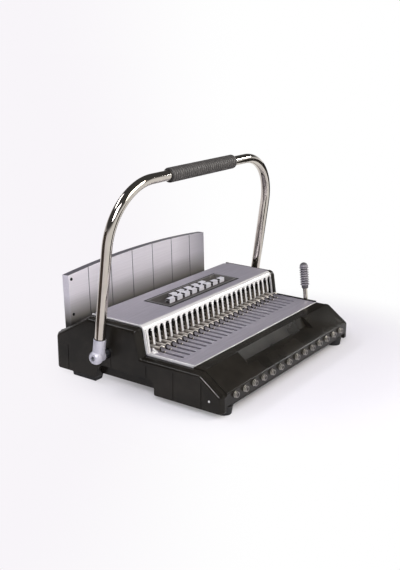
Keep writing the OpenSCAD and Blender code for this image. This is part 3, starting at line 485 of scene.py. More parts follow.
# Meshes
def shade(bm, degrees):
    """Smooth faces, with sharp edges where two faces turn by more than this."""
    limit = math.radians(degrees)
    for face in bm.faces:
        face.smooth = True
    for edge in bm.edges:
        edge.smooth = len(edge.link_faces) == 2 and edge.calc_face_angle(0.0) < limit


def new_object(name, bm, material, degrees=SHARP):
    """A mesh object at the origin from a bmesh, with one material."""
    shade(bm, degrees)
    mesh = bpy.data.meshes.new(name)
    bm.to_mesh(mesh)
    bm.free()
    if material is not None:
        mesh.materials.append(material)
    obj = bpy.data.objects.new(name, mesh)
    bpy.context.scene.collection.objects.link(obj)
    return obj


def discard(obj):
    """Removes an object and its mesh."""
    mesh = obj.data
    bpy.data.objects.remove(obj)
    bpy.data.meshes.remove(mesh)


def settle(obj):
    """Turns the evaluated object into a plain mesh without modifiers."""
    graph = bpy.context.evaluated_depsgraph_get()
    mesh = bpy.data.meshes.new_from_object(obj.evaluated_get(graph))
    obj.modifiers.clear()
    old = obj.data
    obj.data = mesh
    bpy.data.meshes.remove(old)


def soften(obj, width, segments=2, degrees=40):
    """Rounds an object's sharp edges and keeps its flat faces flat."""
    if width > 0:
        bevel = obj.modifiers.new("Rounded edges", "BEVEL")
        bevel.width = width
        bevel.segments = segments
        bevel.limit_method = "ANGLE"
        bevel.angle_limit = math.radians(degrees)
        bevel.use_clamp_overlap = True
    normals = obj.modifiers.new("Flat faces", "WEIGHTED_NORMAL")
    normals.keep_sharp = True
    settle(obj)


def fit(obj, body, nodes=()):
    """Hangs a piece on the body it rides on and hides the nodes it stands for."""
    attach(obj, body)
    if nodes:
        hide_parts(*nodes)


def piece(name, bm, coat, body, nodes=(), degrees=SHARP, edge=None, row=None):
    """A fitted piece, with its edges rounded and repeated in a row where these are given."""
    obj = new_object(name, bm, finish(coat), degrees)
    if edge is not None:
        soften(obj, *edge)
    if row is not None:
        repeat(obj, *row, finish(coat))
    fit(obj, body, nodes)


def dressed_node(node, coat, body, width, segments=2, reshape=None):
    """A piece with a node's shape and softened edges, standing for that node."""
    bm = bmesh.new()
    bm.from_mesh(frame["nodes"][node].data)
    bmesh.ops.remove_doubles(bm, verts=bm.verts, dist=0.005 * MM)
    bmesh.ops.dissolve_limit(bm, angle_limit=math.radians(0.5), verts=bm.verts, edges=bm.edges)
    if reshape is not None:
        reshape(bm)
    piece(node + "_dressed", bm, coat, body, [node], edge=(width, segments))


def loft(rings):
    """A skin over closed rings of points, capped at both ends."""
    bm = bmesh.new()
    rows = [[bm.verts.new(point) for point in ring] for ring in rings]
    for lower, upper in zip(rows, rows[1:]):
        for i in range(len(lower)):
            j = (i + 1) % len(lower)
            bm.faces.new((lower[i], lower[j], upper[j], upper[i]))
    bm.faces.new(rows[0])
    bm.faces.new(rows[-1])
    bmesh.ops.recalc_face_normals(bm, faces=bm.faces)
    return bm


def lathe(profile, segments, place=Matrix()):
    """A turned body from radius and height pairs about the local Z axis."""
    bm = bmesh.new()
    turns = [math.tau * i / segments for i in range(segments)]
    rows = []
    for radius, height in profile:
        ring = [(radius * math.cos(a), radius * math.sin(a), height) for a in turns]
        if radius < 1e-7:
            ring = [(0, 0, height)]
        rows.append([bm.verts.new(place @ Vector(point)) for point in ring])
    for lower, upper in zip(rows, rows[1:]):
        for i in range(segments):
            j = (i + 1) % segments
            around = ((lower, i), (lower, j), (upper, j), (upper, i))
            unique = list(dict.fromkeys(row[k % len(row)] for row, k in around))
            if len(unique) > 2:
                bm.faces.new(unique)
    for row in (rows[0], rows[-1]):
        if len(row) > 2:
            bm.faces.new(row)
    bmesh.ops.recalc_face_normals(bm, faces=bm.faces)
    return bm


def arc(centre, radius, start, end, steps):
    """Points of an arc in a plane, from one angle to another."""
    turns = [start + (end - start) * k / steps for k in range(steps + 1)]
    return [(centre[0] + radius * math.cos(a), centre[1] + radius * math.sin(a)) for a in turns]


def rounded_outline(corners, steps=5):
    """A closed outline from corners given as a point and a rounding radius."""
    points = []
    count = len(corners)
    for i, (corner, radius) in enumerate(corners):
        here = Vector(corner)
        before = (Vector(corners[i - 1][0]) - here).normalized()
        after = (Vector(corners[(i + 1) % count][0]) - here).normalized()
        angle = before.angle(after)
        # A corner that is almost straight keeps its place
        if angle > math.radians(178):
            points += [here] * (steps + 1)
            continue
        reach = radius / math.tan(angle / 2)
        centre = here + (before + after).normalized() * (radius / math.sin(angle / 2))
        start = here + before * reach - centre
        end = here + after * reach - centre
        turn = start.angle_signed(end)
        for k in range(steps + 1):
            points.append(centre + Matrix.Rotation(-turn * k / steps, 2) @ start)
    return points


def inset_corners(corners, amounts):
    """Moves each edge of an outline inwards; an edge starts at its own corner."""
    moved = []
    count = len(corners)
    for i, (corner, radius) in enumerate(corners):
        here = Vector(corner)
        into = (here - Vector(corners[i - 1][0])).normalized()
        out = (Vector(corners[(i + 1) % count][0]) - here).normalized()
        side_in = Vector((-into.y, into.x)) * amounts[i - 1]
        side_out = Vector((-out.y, out.x)) * amounts[i]
        cross = into.x * out.y - into.y * out.x
        gap = side_out - side_in
        along = (gap.x * out.y - gap.y * out.x) / cross
        moved.append((here + side_in + into * along, radius))
    return moved


def join(first, *others):
    """Adds the faces of other bmeshes to the first."""
    for other in others:
        mesh = bpy.data.meshes.new("part")
        other.to_mesh(mesh)
        other.free()
        first.from_mesh(mesh)
        bpy.data.meshes.remove(mesh)
    return first


def box_mesh(lowest, highest):
    """A box between two corners."""
    bm = bmesh.new()
    size = Vector(highest) - Vector(lowest)
    centre = (Vector(highest) + Vector(lowest)) / 2
    bmesh.ops.create_cube(bm, size=1.0, matrix=Matrix.Translation(centre) @ Matrix.Diagonal((*size, 1.0)))
    return bm


def on_wall(point):
    """A point given across, behind and up the leaning wall."""
    return ON_WALL @ Vector(point)


def wall_box(lowest, highest):
    """A box whose corners are given across, behind and up the leaning wall."""
    bm = box_mesh(lowest, highest)
    bmesh.ops.transform(bm, matrix=ON_WALL, verts=bm.verts)
    return bm


def cut(obj, cutter_mesh, overlaps=False):
    """Cuts a bmesh out of an object; its parts may overlap one another where that is said."""
    cutter = new_object("cutter", cutter_mesh, None)
    tool = obj.modifiers.new("Cut", "BOOLEAN")
    tool.operation = "DIFFERENCE"
    tool.solver = "EXACT"
    tool.use_self = overlaps
    tool.object = cutter
    settle(obj)
    discard(cutter)


def reshade(obj):
    """Welds what a cut left double and marks the sharp edges anew."""
    bm = bmesh.new()
    bm.from_mesh(obj.data)
    bmesh.ops.remove_doubles(bm, verts=bm.verts, dist=WELD)
    shade(bm, SHARP)
    bm.to_mesh(obj.data)
    bm.free()


# Geometry node trees for what repeats
def new_tree(name, sockets):
    """A group with these inputs and one output, and the sockets that it is given."""
    tree = bpy.data.node_groups.new(name, "GeometryNodeTree")
    for socket, kind in sockets:
        tree.interface.new_socket(socket, in_out="INPUT", socket_type="NodeSocket" + kind)
    tree.interface.new_socket("Copies", in_out="OUTPUT", socket_type="NodeSocketGeometry")
    return tree, add(tree, "NodeGroupInput").outputs


def on_points(tree, points, part):
    """A copy of a part on each point, as real geometry."""
    copies = add(tree, "GeometryNodeInstanceOnPoints", links={"Points": points, "Instance": part})
    real = add(tree, "GeometryNodeRealizeInstances", links={"Geometry": copies.outputs["Instances"]})
    return real.outputs["Geometry"]


def hand_out(tree, geometry, material):
    """Coats the geometry and makes it the tree's output."""
    done = add(tree, "GeometryNodeSetMaterial", links={"Geometry": geometry, "Material": material})
    add(tree, "NodeGroupOutput", links={"Copies": done.outputs["Geometry"]})


def row_tree():
    """Repeats the incoming part along a line."""
    name = "Row of like parts"
    if name in bpy.data.node_groups:
        return bpy.data.node_groups[name]
    sockets = (("Part", "Geometry"), ("Count", "Int"), ("Step", "Vector"), ("Finish", "Material"))
    tree, given = new_tree(name, sockets)
    spacing = {"Count": given["Count"], "Offset": given["Step"]}
    line = add(tree, "GeometryNodeMeshLine", {"mode": "OFFSET"}, spacing)
    real = on_points(tree, line.outputs["Mesh"], given["Part"])
    welded = add(tree, "GeometryNodeMergeByDistance", {"Distance": WELD}, {"Geometry": real})
    hand_out(tree, welded.outputs["Geometry"], given["Finish"])
    return tree


def scatter_tree():
    """Puts a copy of an object on each incoming point."""
    name = "Parts on points"
    if name in bpy.data.node_groups:
        return bpy.data.node_groups[name]
    tree, given = new_tree(name, (("Points", "Geometry"), ("Part", "Object"), ("Finish", "Material")))
    part = add(tree, "GeometryNodeObjectInfo", links={"Object": given["Part"]})
    hand_out(tree, on_points(tree, given["Points"], part.outputs["Geometry"]), given["Finish"])
    return tree


def run_tree(obj, tree, values):
    """Runs a tree on an object with these inputs and leaves a plain mesh."""
    modifier = obj.modifiers.new("Copies", "NODES")
    modifier.node_group = tree
    for item in tree.interface.items_tree:
        if item.in_out == "INPUT" and item.name in values:
            modifier[item.identifier] = values[item.name]
    settle(obj)


def repeat(obj, count, step, material):
    """Repeats an object's mesh along a line."""
    run_tree(obj, row_tree(), {"Count": count, "Step": step, "Finish": material})


def scatter(name, part_mesh, points, material):
    """Copies of a part on the given points, as one plain mesh."""
    part = new_object("part_to_copy", part_mesh, material)
    bm = bmesh.new()
    for point in points:
        bm.verts.new(point)
    obj = new_object(name, bm, material)
    run_tree(obj, scatter_tree(), {"Part": part, "Finish": material})
    discard(part)
    return obj


def screw_mesh(diameter, height, turn):
    """A pan-head screw with a cross recess, standing on z = 0, turned into place."""
    r = diameter / 2
    rim = [(0, 0), (r, 0), (r, height * 0.35), (r * 0.9, height * 0.72), (r * 0.62, height * 0.93)]
    crown = [(r * 0.5, height), (r * 0.16, height * 0.98), (0, height * 0.98)]
    arm, width, deep = r * 0.55, r * 0.11, height * 0.35
    recess = join(box_mesh((-arm, -width, height - deep), (arm, width, height * 2)),
                  box_mesh((-width, -arm, height - deep), (width, arm, height * 2)))
    screw = new_object("screw", lathe(rim + crown, 24), None)
    cut(screw, recess, True)
    made = bmesh.new()
    made.from_mesh(screw.data)
    discard(screw)
    bmesh.ops.transform(made, matrix=turn, verts=made.verts)
    return made


# The covers
def cover_corners():
    """Corners of a side cover in side view: place, rounding and edge inset."""
    ridge = LOWER_Y - STRIP_DEPTH
    top, deck = UPPER_Z - COVER_DROP, LOWER_Z - COVER_DROP
    rear_top = REAR_TOP - COVER_DROP
    base = low("right_side_cover").z
    lip = deck - 27 * MM
    arch_front, arch_rear, arch_top = WALL_Y - 22 * MM, WALL_Y + 84 * MM, 32 * MM
    return [
        (((REAR_Y, base), 3 * MM), 1.3),
        (((REAR_Y, rear_top), 6 * MM), 1.0),
        (((DECK_Y, top), 6 * MM), 1.0),
        (((UPPER_Y - 3.4 * MM, top), 6 * MM), 1.0),
        (((WALL_Y + 1 * MM, deck), 2 * MM), 1.0),
        (((ridge, deck), 5 * MM), 1.0),
        (((FRONT_Y, lip), 5 * MM), 1.0),
        (((FRONT_Y, base), 2 * MM), 0.12),
        (((arch_front, base), 2 * MM), 0.12),
        (((arch_front, arch_top), 12 * MM), 0.12),
        (((arch_rear, arch_top), 12 * MM), 0.12),
        (((arch_rear + 6 * MM, base), 2 * MM), 0.12),
    ]


def side_cover(side, name, reach):
    """The shell of one side cover, with the seams of its mould and its holes."""
    corners = [corner for corner, _ in cover_corners()]
    shares = [share for _, share in cover_corners()]
    # How far each ring lies from the outer face and how far it is inset, as shares of the bevel
    bevel = ((1.0, 0.0), (0.88, 0.01), (0.79, 0.04), (0.26, 0.31), (0.12, 0.42), (0.035, 0.56), (0.0, 0.74))
    stations = [(HALF_DECK, 0.0)] + [(OUTER_X - reach * depth, reach * drop) for depth, drop in bevel]
    rings = []
    for x, inset in stations:
        moved = inset_corners(corners, [inset * share for share in shares])
        rings.append([Vector((side * x, y, z)) for y, z in rounded_outline(moved)])
    obj = new_object(name + "_cover_shell", loft(rings), finish("moulded_abs"))
    seam, deep, seam_top = 1.2 * MM, 0.8 * MM, 52 * MM
    seam_foot = low("right_side_cover").z - 1 * MM
    x0, x1 = sorted((side * (OUTER_X - deep), side * (OUTER_X + 2 * MM)))
    places = [WALL_Y + y * MM for y in (-107, -58, -9, 58)] + [REAR_Y - 28.5 * MM]
    cut(obj, join(*[box_mesh((x0, y, seam_foot), (x1, y + seam, seam_top)) for y in places]))
    shaft_r, shaft_half = 8.5 * MM, 30 * MM
    across = Matrix.Translation((side * OUTER_X, PIVOT.y, PIVOT.z)) @ Matrix.Rotation(QUARTER, 4, "Y")
    cut(obj, lathe([(shaft_r, -shaft_half), (shaft_r, shaft_half)], 48, across))
    if side > 0:
        # The lever's slot, and the wider room for its boss below
        front, outer = LEVER.y - 33 * MM, LEVER_X + 5 * MM
        for foot, back, top in ((40 * MM, 10.5 * MM, 80 * MM), (5 * MM, 16 * MM, 52 * MM)):
            cut(obj, box_mesh((HALF_DECK - 1 * MM, front, foot), (outer, LEVER.y + back, top)))
    reshade(obj)
    soften(obj, 0)
    fit(obj, "frame", [name + "_side_cover"])


class BINDER_OT_side_covers(bpy.types.Operator):
    """Moulded side covers with bevelled outer edges"""
    bl_idname = "binder.side_covers"
    bl_label = "Side Covers"

    def execute(self, context):
        for side, name in SIDES:
            side_cover(side, name, context.scene.binder_sizes.cover_round)
        return {"FINISHED"}


class BINDER_OT_other_covers(bpy.types.Operator):
    """Front cover, rear cover, base pan, chip tray and feet"""
    bl_idname = "binder.other_covers"
    bl_label = "Other Covers"

    def execute(self, context):
        dressed_node("front_cover", "moulded_abs", "frame", 1.3 * MM, 3)
        dressed_node("rear_cover", "moulded_abs", "frame", 0.7 * MM)
        dressed_node("base_pan", "moulded_abs", "frame", 0.4 * MM)
        dressed_node("chip_tray", "moulded_abs", "chip_drawer", 0.5 * MM)
        dressed_node("feet", "foot_rubber", "frame", 1.0 * MM)
        return {"FINISHED"}


def widen_slits(bm):
    """Spreads the sides of each slit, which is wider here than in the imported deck."""
    reach, spread = 2.5 * MM, 1.6
    start, end = WALL_Y - 54 * MM, WALL_Y - 4 * MM
    for vert in bm.verts:
        centre = (math.floor(vert.co.x / COMB_PITCH) + 0.5) * COMB_PITCH
        offset = vert.co.x - centre
        if start < vert.co.y < end and abs(offset) < reach:
            vert.co.x = centre + offset * spread


class BINDER_OT_decks(bpy.types.Operator):
    """Enamelled upper and lower deck"""
    bl_idname = "binder.decks"
    bl_label = "Decks"

    def execute(self, context):
        edge = context.scene.binder_sizes.edge_round
        dressed_node("top_deck", "silver_enamel", "frame", edge)
        dressed_node("lower_deck", "silver_enamel", "frame", edge / 2, reshape=widen_slits)
        return {"FINISHED"}


def right_lip(inner, outer, rise):
    """A strip that climbs the wall's right end and follows the bend to the upper deck."""
    proud, sunk, bend, steps = 3 * MM, 0.5 * MM, 8 * MM, 8
    rings = []
    for up in (1 * MM, rise):
        corners = ((inner, sunk), (outer, sunk), (outer, -proud), (inner, -proud))
        rings.append([on_wall((x, back, up)) for x, back in corners])
    for k in range(1, steps + 1):
        turn = math.pi - WALL_LEAN - (QUARTER - WALL_LEAN) * k / steps
        near, far = bend - sunk, bend + proud * (1 - 0.85 * k / steps)
        y, z = math.cos(turn), math.sin(turn)
        corners = ((inner, near), (outer, near), (outer, far), (inner, far))
        rings.append([Vector((x, UPPER_Y + r * y, UPPER_Z - bend + r * z)) for x, r in corners])
    return loft(rings)


class BINDER_OT_edge_trim(bpy.types.Operator):
    """Bright rims at the left end of the decks and the wall, black ones at the right, and a black strip of
    painted shade beside the left rim on the wall
    """
    bl_idname = "binder.edge_trim"
    bl_label = "Edge Trim"

    def execute(self, context):
        rim_h, rim_t, skin = 2 * MM, 1.6 * MM, 0.12 * MM
        drop, rise = COVER_DROP - 0.2 * MM, 35.7 * MM
        rims = []
        for side, _ in SIDES:
            x0, x1 = sorted((side * (HALF_DECK - rim_t - skin), side * (HALF_DECK + skin)))
            lower = box_mesh((x0, LOWER_Y, LOWER_Z - drop), (x1, WALL_Y - rim_h, LOWER_Z + rim_h + skin))
            upper = box_mesh((x0, UPPER_Y, UPPER_Z - drop), (x1, DECK_Y, UPPER_Z + 2 * skin))
            rims.append(join(lower, upper))
        bright, black = rims
        left = -HALF_DECK + rim_t + skin
        wall = wall_box((-HALF_DECK - skin, -0.8 * MM, 0), (left, 0.5 * MM, rise))
        front = box_mesh((-HALF_DECK, LOWER_Y - skin, LOWER_Z - 1 * MM),
                         (HALF_DECK, LOWER_Y + 1.3 * MM, LOWER_Z + 2 * skin))
        trim = join(bright, wall, front)
        piece("deck_edge_trim", trim, "nickel_plating", "frame", edge=(0.25 * MM,))
        # Painted shade: a black strip on the wall beside the left rim
        shade_band = wall_box((left, -0.2 * MM, 1 * MM), (left + 2.8 * MM, 0.5 * MM, rise))
        black_parts = join(black, shade_band, right_lip(HALF_DECK - 6 * MM, HALF_DECK + skin, rise))
        piece("rim_seals", black_parts, "moulded_abs", "frame", edge=(0.1 * MM,))
        return {"FINISHED"}


# The comb wall and its opener
class BINDER_OT_comb_wall(bpy.types.Operator):
    """Bright bent band above the tines"""
    bl_idname = "binder.comb_wall"
    bl_label = "Comb Wall"

    def execute(self, context):
        dressed_node("comb_wall", "nickel_plating", "frame", 0.4 * MM)
        return {"FINISHED"}


class BINDER_OT_comb_tines(bpy.types.Operator):
    """Row of round-ended tines"""
    bl_idname = "binder.comb_tines"
    bl_label = "Comb Tines"

    def execute(self, context):
        sizes = context.scene.binder_sizes
        half = sizes.tine_w / 2
        up_low = 8 * MM / math.cos(WALL_LEAN)
        up_high = (high("comb_tines").z - LOWER_Z) / math.cos(WALL_LEAN)
        outline = [(-half, up_high), (half, up_high)] + arc((0, up_low + half), half, 0, -math.pi, 12)
        depths = (0, sizes.tine_depth)
        rings = [[on_wall((FIRST_COMB + x, depth, up)) for x, up in outline] for depth in depths]
        piece("comb_tine_row", loft(rings), "punched_plating", "frame", ["comb_tines"], 30,
              (0.9 * MM, 3, 30), COMB_ROW)
        return {"FINISHED"}


class BINDER_OT_comb_hooks(bpy.types.Operator):
    """Row of round hooks on flat necks"""
    bl_idname = "binder.comb_hooks"
    bl_label = "Comb Hooks"

    def execute(self, context):
        sizes = context.scene.binder_sizes
        outer, inner, half = sizes.hook_r, sizes.hook_in_r, sizes.hook_t / 2
        centre = (HOOK_Y, HOOK_Z)
        neck_low, neck_high = LOWER_Z + 1.2 * MM, LOWER_Z + 6.4 * MM
        neck_end = high("comb_hooks").y
        tip_up, tip_down = math.radians(130), math.radians(200)
        neck_up = math.asin((neck_high - HOOK_Z) / outer)
        neck_down = math.asin((neck_low - HOOK_Z) / outer) + math.tau
        outline = arc(centre, outer, neck_up, tip_up, 10)
        outline += arc(centre, inner, tip_up, tip_down - math.tau, 24)
        outline += arc(centre, outer, tip_down, neck_down, 14)
        outline += [(neck_end, neck_low), (neck_end, neck_high)]
        rings = [[Vector((FIRST_COMB + x, y, z)) for y, z in outline] for x in (-half, half)]
        piece("comb_hook_row", loft(rings), "barrel_plating", "hook_carriage",
              ["comb_hooks"], 30, (0.35 * MM, 2, 50), COMB_ROW)
        return {"FINISHED"}


class BINDER_OT_end_stop(bpy.types.Operator):
    """Small folded stop at the left end of the comb row"""
    bl_idname = "binder.end_stop"
    bl_label = "Comb End Stop"

    def execute(self, context):
        dressed_node("end_stop", "nickel_plating", "frame", 0.25 * MM)
        return {"FINISHED"}


# The selectors
class BINDER_OT_key_tray(bpy.types.Operator):
    """Bevelled tray with a black frame of painted shade round it and a row of index marks"""
    bl_idname = "binder.key_tray"
    bl_label = "Key Tray"

    def execute(self, context):
        dressed_node("selector_tray", "tray_plastic", "frame", 0.4 * MM)
        start, end = low("selector_tray"), high("selector_tray")
        lip, deep, lap = 2.2 * MM, 3 * MM, 0.1 * MM
        under, over = UPPER_Z - 0.2 * MM, UPPER_Z + 0.4 * MM
        # Painted shade: a black frame round the tray stands in for the shade line at its edge
        shade_band = join(
            box_mesh((start.x - lip, start.y - deep, under), (end.x + lip, start.y + lap, over)),
            box_mesh((start.x - lip, end.y - lap, under), (end.x + lip, end.y + deep, over)),
            box_mesh((start.x - lip, start.y, under), (start.x + lap, end.y, over)),
            box_mesh((end.x - lap, start.y, under), (end.x + lip, end.y, over)))
        piece("tray_seal", shade_band, "foot_rubber", "frame", edge=(0.15 * MM,))
        count, half_w, half_l = 22, 0.4 * MM, 1.6 * MM
        floor = low("front_key_1").z + 3.8 * MM
        first, last = (across_middle(f"front_key_{i}") for i in (1, 8))
        y = low("front_key_1").y - 3.5 * MM
        mark = box_mesh((first - half_w, y - half_l, floor - 0.2 * MM),
                        (first + half_w, y + half_l, floor + 0.25 * MM))
        row = (count, ((last - first) / (count - 1), 0, 0))
        piece("tray_index_marks", mark, "tray_plastic", "frame", edge=(0.1 * MM,), row=row)
        return {"FINISHED"}


class BINDER_OT_keys(bpy.types.Operator):
    """Selector keys with softened caps and a line round each"""
    bl_idname = "binder.keys"
    bl_label = "Selector Keys"

    def execute(self, context):
        flange, foot_h, sink, corner_r = 1.0 * MM, 1.5 * MM, 1.3 * MM, 1.2 * MM
        line, deep = 0.35 * MM, 0.35 * MM
        names = [f"front_key_{i}" for i in range(1, 9)] + [f"rear_key_{i}" for i in range(1, 6)]
        for name in names:
            lowest, highest = low(name), high(name)
            top = highest.z - sink
            mark = top - 3 * MM
            levels = [(lowest.z + foot_h, 0), (mark - line, 0), (mark - line / 2, deep),
                      (mark + line / 2, deep), (mark + line, 0), (top, 0.15 * MM)]
            rings = []
            for z, inset in levels:
                x0, x1 = lowest.x + flange + inset, highest.x - flange - inset
                y0, y1 = lowest.y + flange + inset, highest.y - flange - inset
                corners = ((x0, y0), (x1, y0), (x1, y1), (x0, y1))
                ring = rounded_outline([(corner, corner_r) for corner in corners], 3)
                rings.append([Vector((x, y, z)) for x, y in ring])
            foot = box_mesh(lowest, (highest.x, highest.y, lowest.z + foot_h))
            piece(name + "_cap", join(loft(rings), foot), "key_coat", name + "_body",
                  [name], 30, (0.5 * MM, 3, 60))
        return {"FINISHED"}


class BINDER_OT_knobs(bpy.types.Operator):
    """Turned pull knobs along the front face"""
    bl_idname = "binder.knobs"
    bl_label = "Pull Knobs"

    def execute(self, context):
        # The head's outline, as shares of its radius and of its length
        head = [(0.72, 0.42), (0.7, 0.52), (0.74, 0.6), (0.86, 0.68), (0.9, 0.74), (0.9, 0.88),
                (0.84, 0.97), (0.74, 1), (0.5, 1), (0.44, 0.95), (0, 0.93)]
        stem, collar, bevel = 2.5 * MM, 4.5 * MM, 0.3 * MM
        for i in range(1, 15):
            name = f"pull_knob_{i}"
            lowest, highest = low(name), high(name)
            out = FRONT_Y - lowest.y
            r = (highest.x - lowest.x) / 2
            back = FRONT_Y - highest.y
            profile = [(0, back), (collar - 0.2 * MM, back), (collar, back + 0.2 * MM),
                       (collar, back + 3 * MM), (stem, back + 3 * MM),
                       (stem, bevel), (r - bevel, bevel), (r, 2 * bevel),
                       (r, out * 0.24), (r - bevel, out * 0.32)]
            profile += [(r * wide, out * far) for wide, far in head]
            centre = (across_middle(name), FRONT_Y, (lowest.z + highest.z) / 2)
            place = Matrix.Translation(centre) @ Matrix.Rotation(QUARTER, 4, "X")
            piece(name + "_turned", lathe(profile, 36, place), "turned_aluminium", name + "_body",
                  [name], 32)
        return {"FINISHED"}


# The paper support
class BINDER_OT_paper_support(bpy.types.Operator):
    """Folded panel with an arched top and pressed grooves"""
    bl_idname = "binder.paper_support"
    bl_label = "Paper Support"

    def execute(self, context):
        dressed_node("paper_support", "brushed_panel", "frame", 0.45 * MM)
        return {"FINISHED"}


# The handle
def tube_mesh(points, radius, place, segments=32):
    """A round tube along a path in the local XZ plane."""
    rings = []
    for i, point in enumerate(points):
        before, after = points[max(i - 1, 0)], points[min(i + 1, len(points) - 1)]
        along = (after - before).normalized()
        side = Vector((-along.z, 0, along.x))
        ring = []
        for k in range(segments):
            turn = math.tau * k / segments
            spoke = math.cos(turn) * side + math.sin(turn) * Vector((0, 1, 0))
            ring.append(place @ (point + radius * spoke))
        rings.append(ring)
    return loft(rings)


class BINDER_OT_handle(bpy.types.Operator):
    """Bent chrome tube of the handle"""
    bl_idname = "binder.handle"
    bl_label = "Handle"

    def execute(self, context):
        sizes = context.scene.binder_sizes
        arm = high("handle_loop").x - sizes.tube_d / 2
        bend = sizes.bend_r
        run, straight = arm - bend, sizes.handle_l - bend
        path = [(-arm, TUBE_FOOT), (-arm, straight * 0.5)]
        path += arc((-run, straight), bend, math.pi, QUARTER, 24)
        path += arc((run, straight), bend, QUARTER, 0, 24)
        path += [(arm, straight * 0.5), (arm, TUBE_FOOT)]
        tube = tube_mesh([Vector((x, 0, z)) for x, z in path], sizes.tube_d / 2, ON_HANDLE)
        piece("handle_tube", tube, "chrome_plating", "handle", ["handle_loop"])
        return {"FINISHED"}


class BINDER_OT_hubs(bpy.types.Operator):
    """Cast pivot hubs with a sleeve for the tube, their screws and a black ring at the top of each sleeve
    """
    bl_idname = "binder.hubs"
    bl_label = "Pivot Hubs"

    def execute(self, context):
        arm = high("handle_loop").x - context.scene.binder_sizes.tube_d / 2
        r, half, out, well = 10.75 * MM, 8.5 * MM, 4.5 * MM, 2.5 * MM
        rim = math.asin((half - 0.5 * MM) / r)
        face = r * math.cos(rim)
        hub = [(0, -half), (face - 1 * MM, -half)] + arc((0, 0), r, -rim, rim, 12)
        hub += [(face - 0.8 * MM, half), (4.1 * MM, half), (3.9 * MM, half - well), (0, half - well)]
        sleeve = [(0, 4 * MM), (9.25 * MM, 4 * MM), (9.25 * MM, 28.5 * MM), (9 * MM, 29 * MM),
                  (8.8 * MM, 28.9 * MM), (8.1 * MM, 26.5 * MM), (8.1 * MM, TUBE_FOOT), (0, TUBE_FOOT)]
        boss = [(0, -7.5 * MM), (8.6 * MM, -7.5 * MM), (9 * MM, -7.1 * MM), (9 * MM, 1 * MM), (0, 1 * MM)]
        ring = [(7.6 * MM, 26.6 * MM), (8.7 * MM, 28.2 * MM), (8.7 * MM, 29.6 * MM), (8.3 * MM, 30 * MM),
                (7.6 * MM, 30 * MM), (7.6 * MM, 26.6 * MM)]
        hubs, screws, black_parts = [], [], []
        for side, _ in SIDES:
            place = ON_HANDLE @ Matrix.Translation((side * arm, 0, 0))
            outwards = Matrix.Rotation(side * QUARTER, 4, "Y")
            ball = lathe(hub, 48, place @ Matrix.Translation((side * out, 0, 0)) @ outwards)
            hubs.append(join(ball, lathe(sleeve, 48, place), lathe(boss, 48, place @ outwards)))
            seat = Matrix.Translation((side * (out + half - well), 0, 0))
            turn = Matrix.Rotation(math.pi / 4, 4, "X")
            screws.append(screw_mesh(6.2 * MM, well - 0.1 * MM, place @ turn @ seat @ outwards))
            black_parts.append(lathe(ring, 48, place))
        piece("pivot_hubs", join(*hubs), "lacquered_casting", "handle", ["handle_hubs"], 40)
        piece("tube_seals", join(*black_parts), "foot_rubber", "handle")
        piece("hub_screw_heads", join(*screws), "ground_steel", "handle", ["hub_screws"])
        return {"FINISHED"}


class BINDER_OT_handle_grip(bpy.types.Operator):
    """Ribbed grip on the handle's cross bar"""
    bl_idname = "binder.handle_grip"
    bl_label = "Handle Grip"

    def execute(self, context):
        sizes = context.scene.binder_sizes
        half = high("handle_grip").x
        count = sizes.grip_ribs
        rib = 2 * half / count
        r, bore, groove = sizes.grip_d / 2, sizes.tube_d / 2 + 0.1 * MM, 1.4 * MM
        # One rib's outline: the share of its length and the share of the groove's depth
        shape = [(0.0, 1.0), (0.12, 0.75), (0.24, 0.25), (0.38, 0.0),
                 (0.62, 0.0), (0.76, 0.25), (0.88, 0.75), (1.0, 1.0)]
        profile = [(r - drop * groove, at * rib) for at, drop in shape]
        place = ON_HANDLE @ Matrix.Translation((0, 0, sizes.handle_l)) @ Matrix.Rotation(QUARTER, 4, "Y")
        left = place @ Matrix.Translation((0, 0, -half))
        right = place @ Matrix.Translation((0, 0, half)) @ Matrix.Rotation(math.pi, 4, "X")
        ring = lathe(profile, 36, left)
        ends = [face for face in ring.faces if len(face.verts) > 4]
        bmesh.ops.delete(ring, geom=ends, context="FACES_ONLY")
        row = (count, tuple(place.to_3x3() @ Vector((0, 0, rib))))
        piece("handle_grip_ribs", ring, "grip_vinyl", "handle", ["handle_grip"], 60, row=row)
        edge = r - groove
        collar = [(bore, -0.02 * MM), (edge - 0.6 * MM, 0), (edge, 0.5 * MM),
                  (edge, 1.5 * MM), (bore, 1.5 * MM)]
        caps = join(lathe(collar, 36, left), lathe(collar, 36, right))
        piece("handle_grip_ends", caps, "grip_vinyl", "handle")
        return {"FINISHED"}


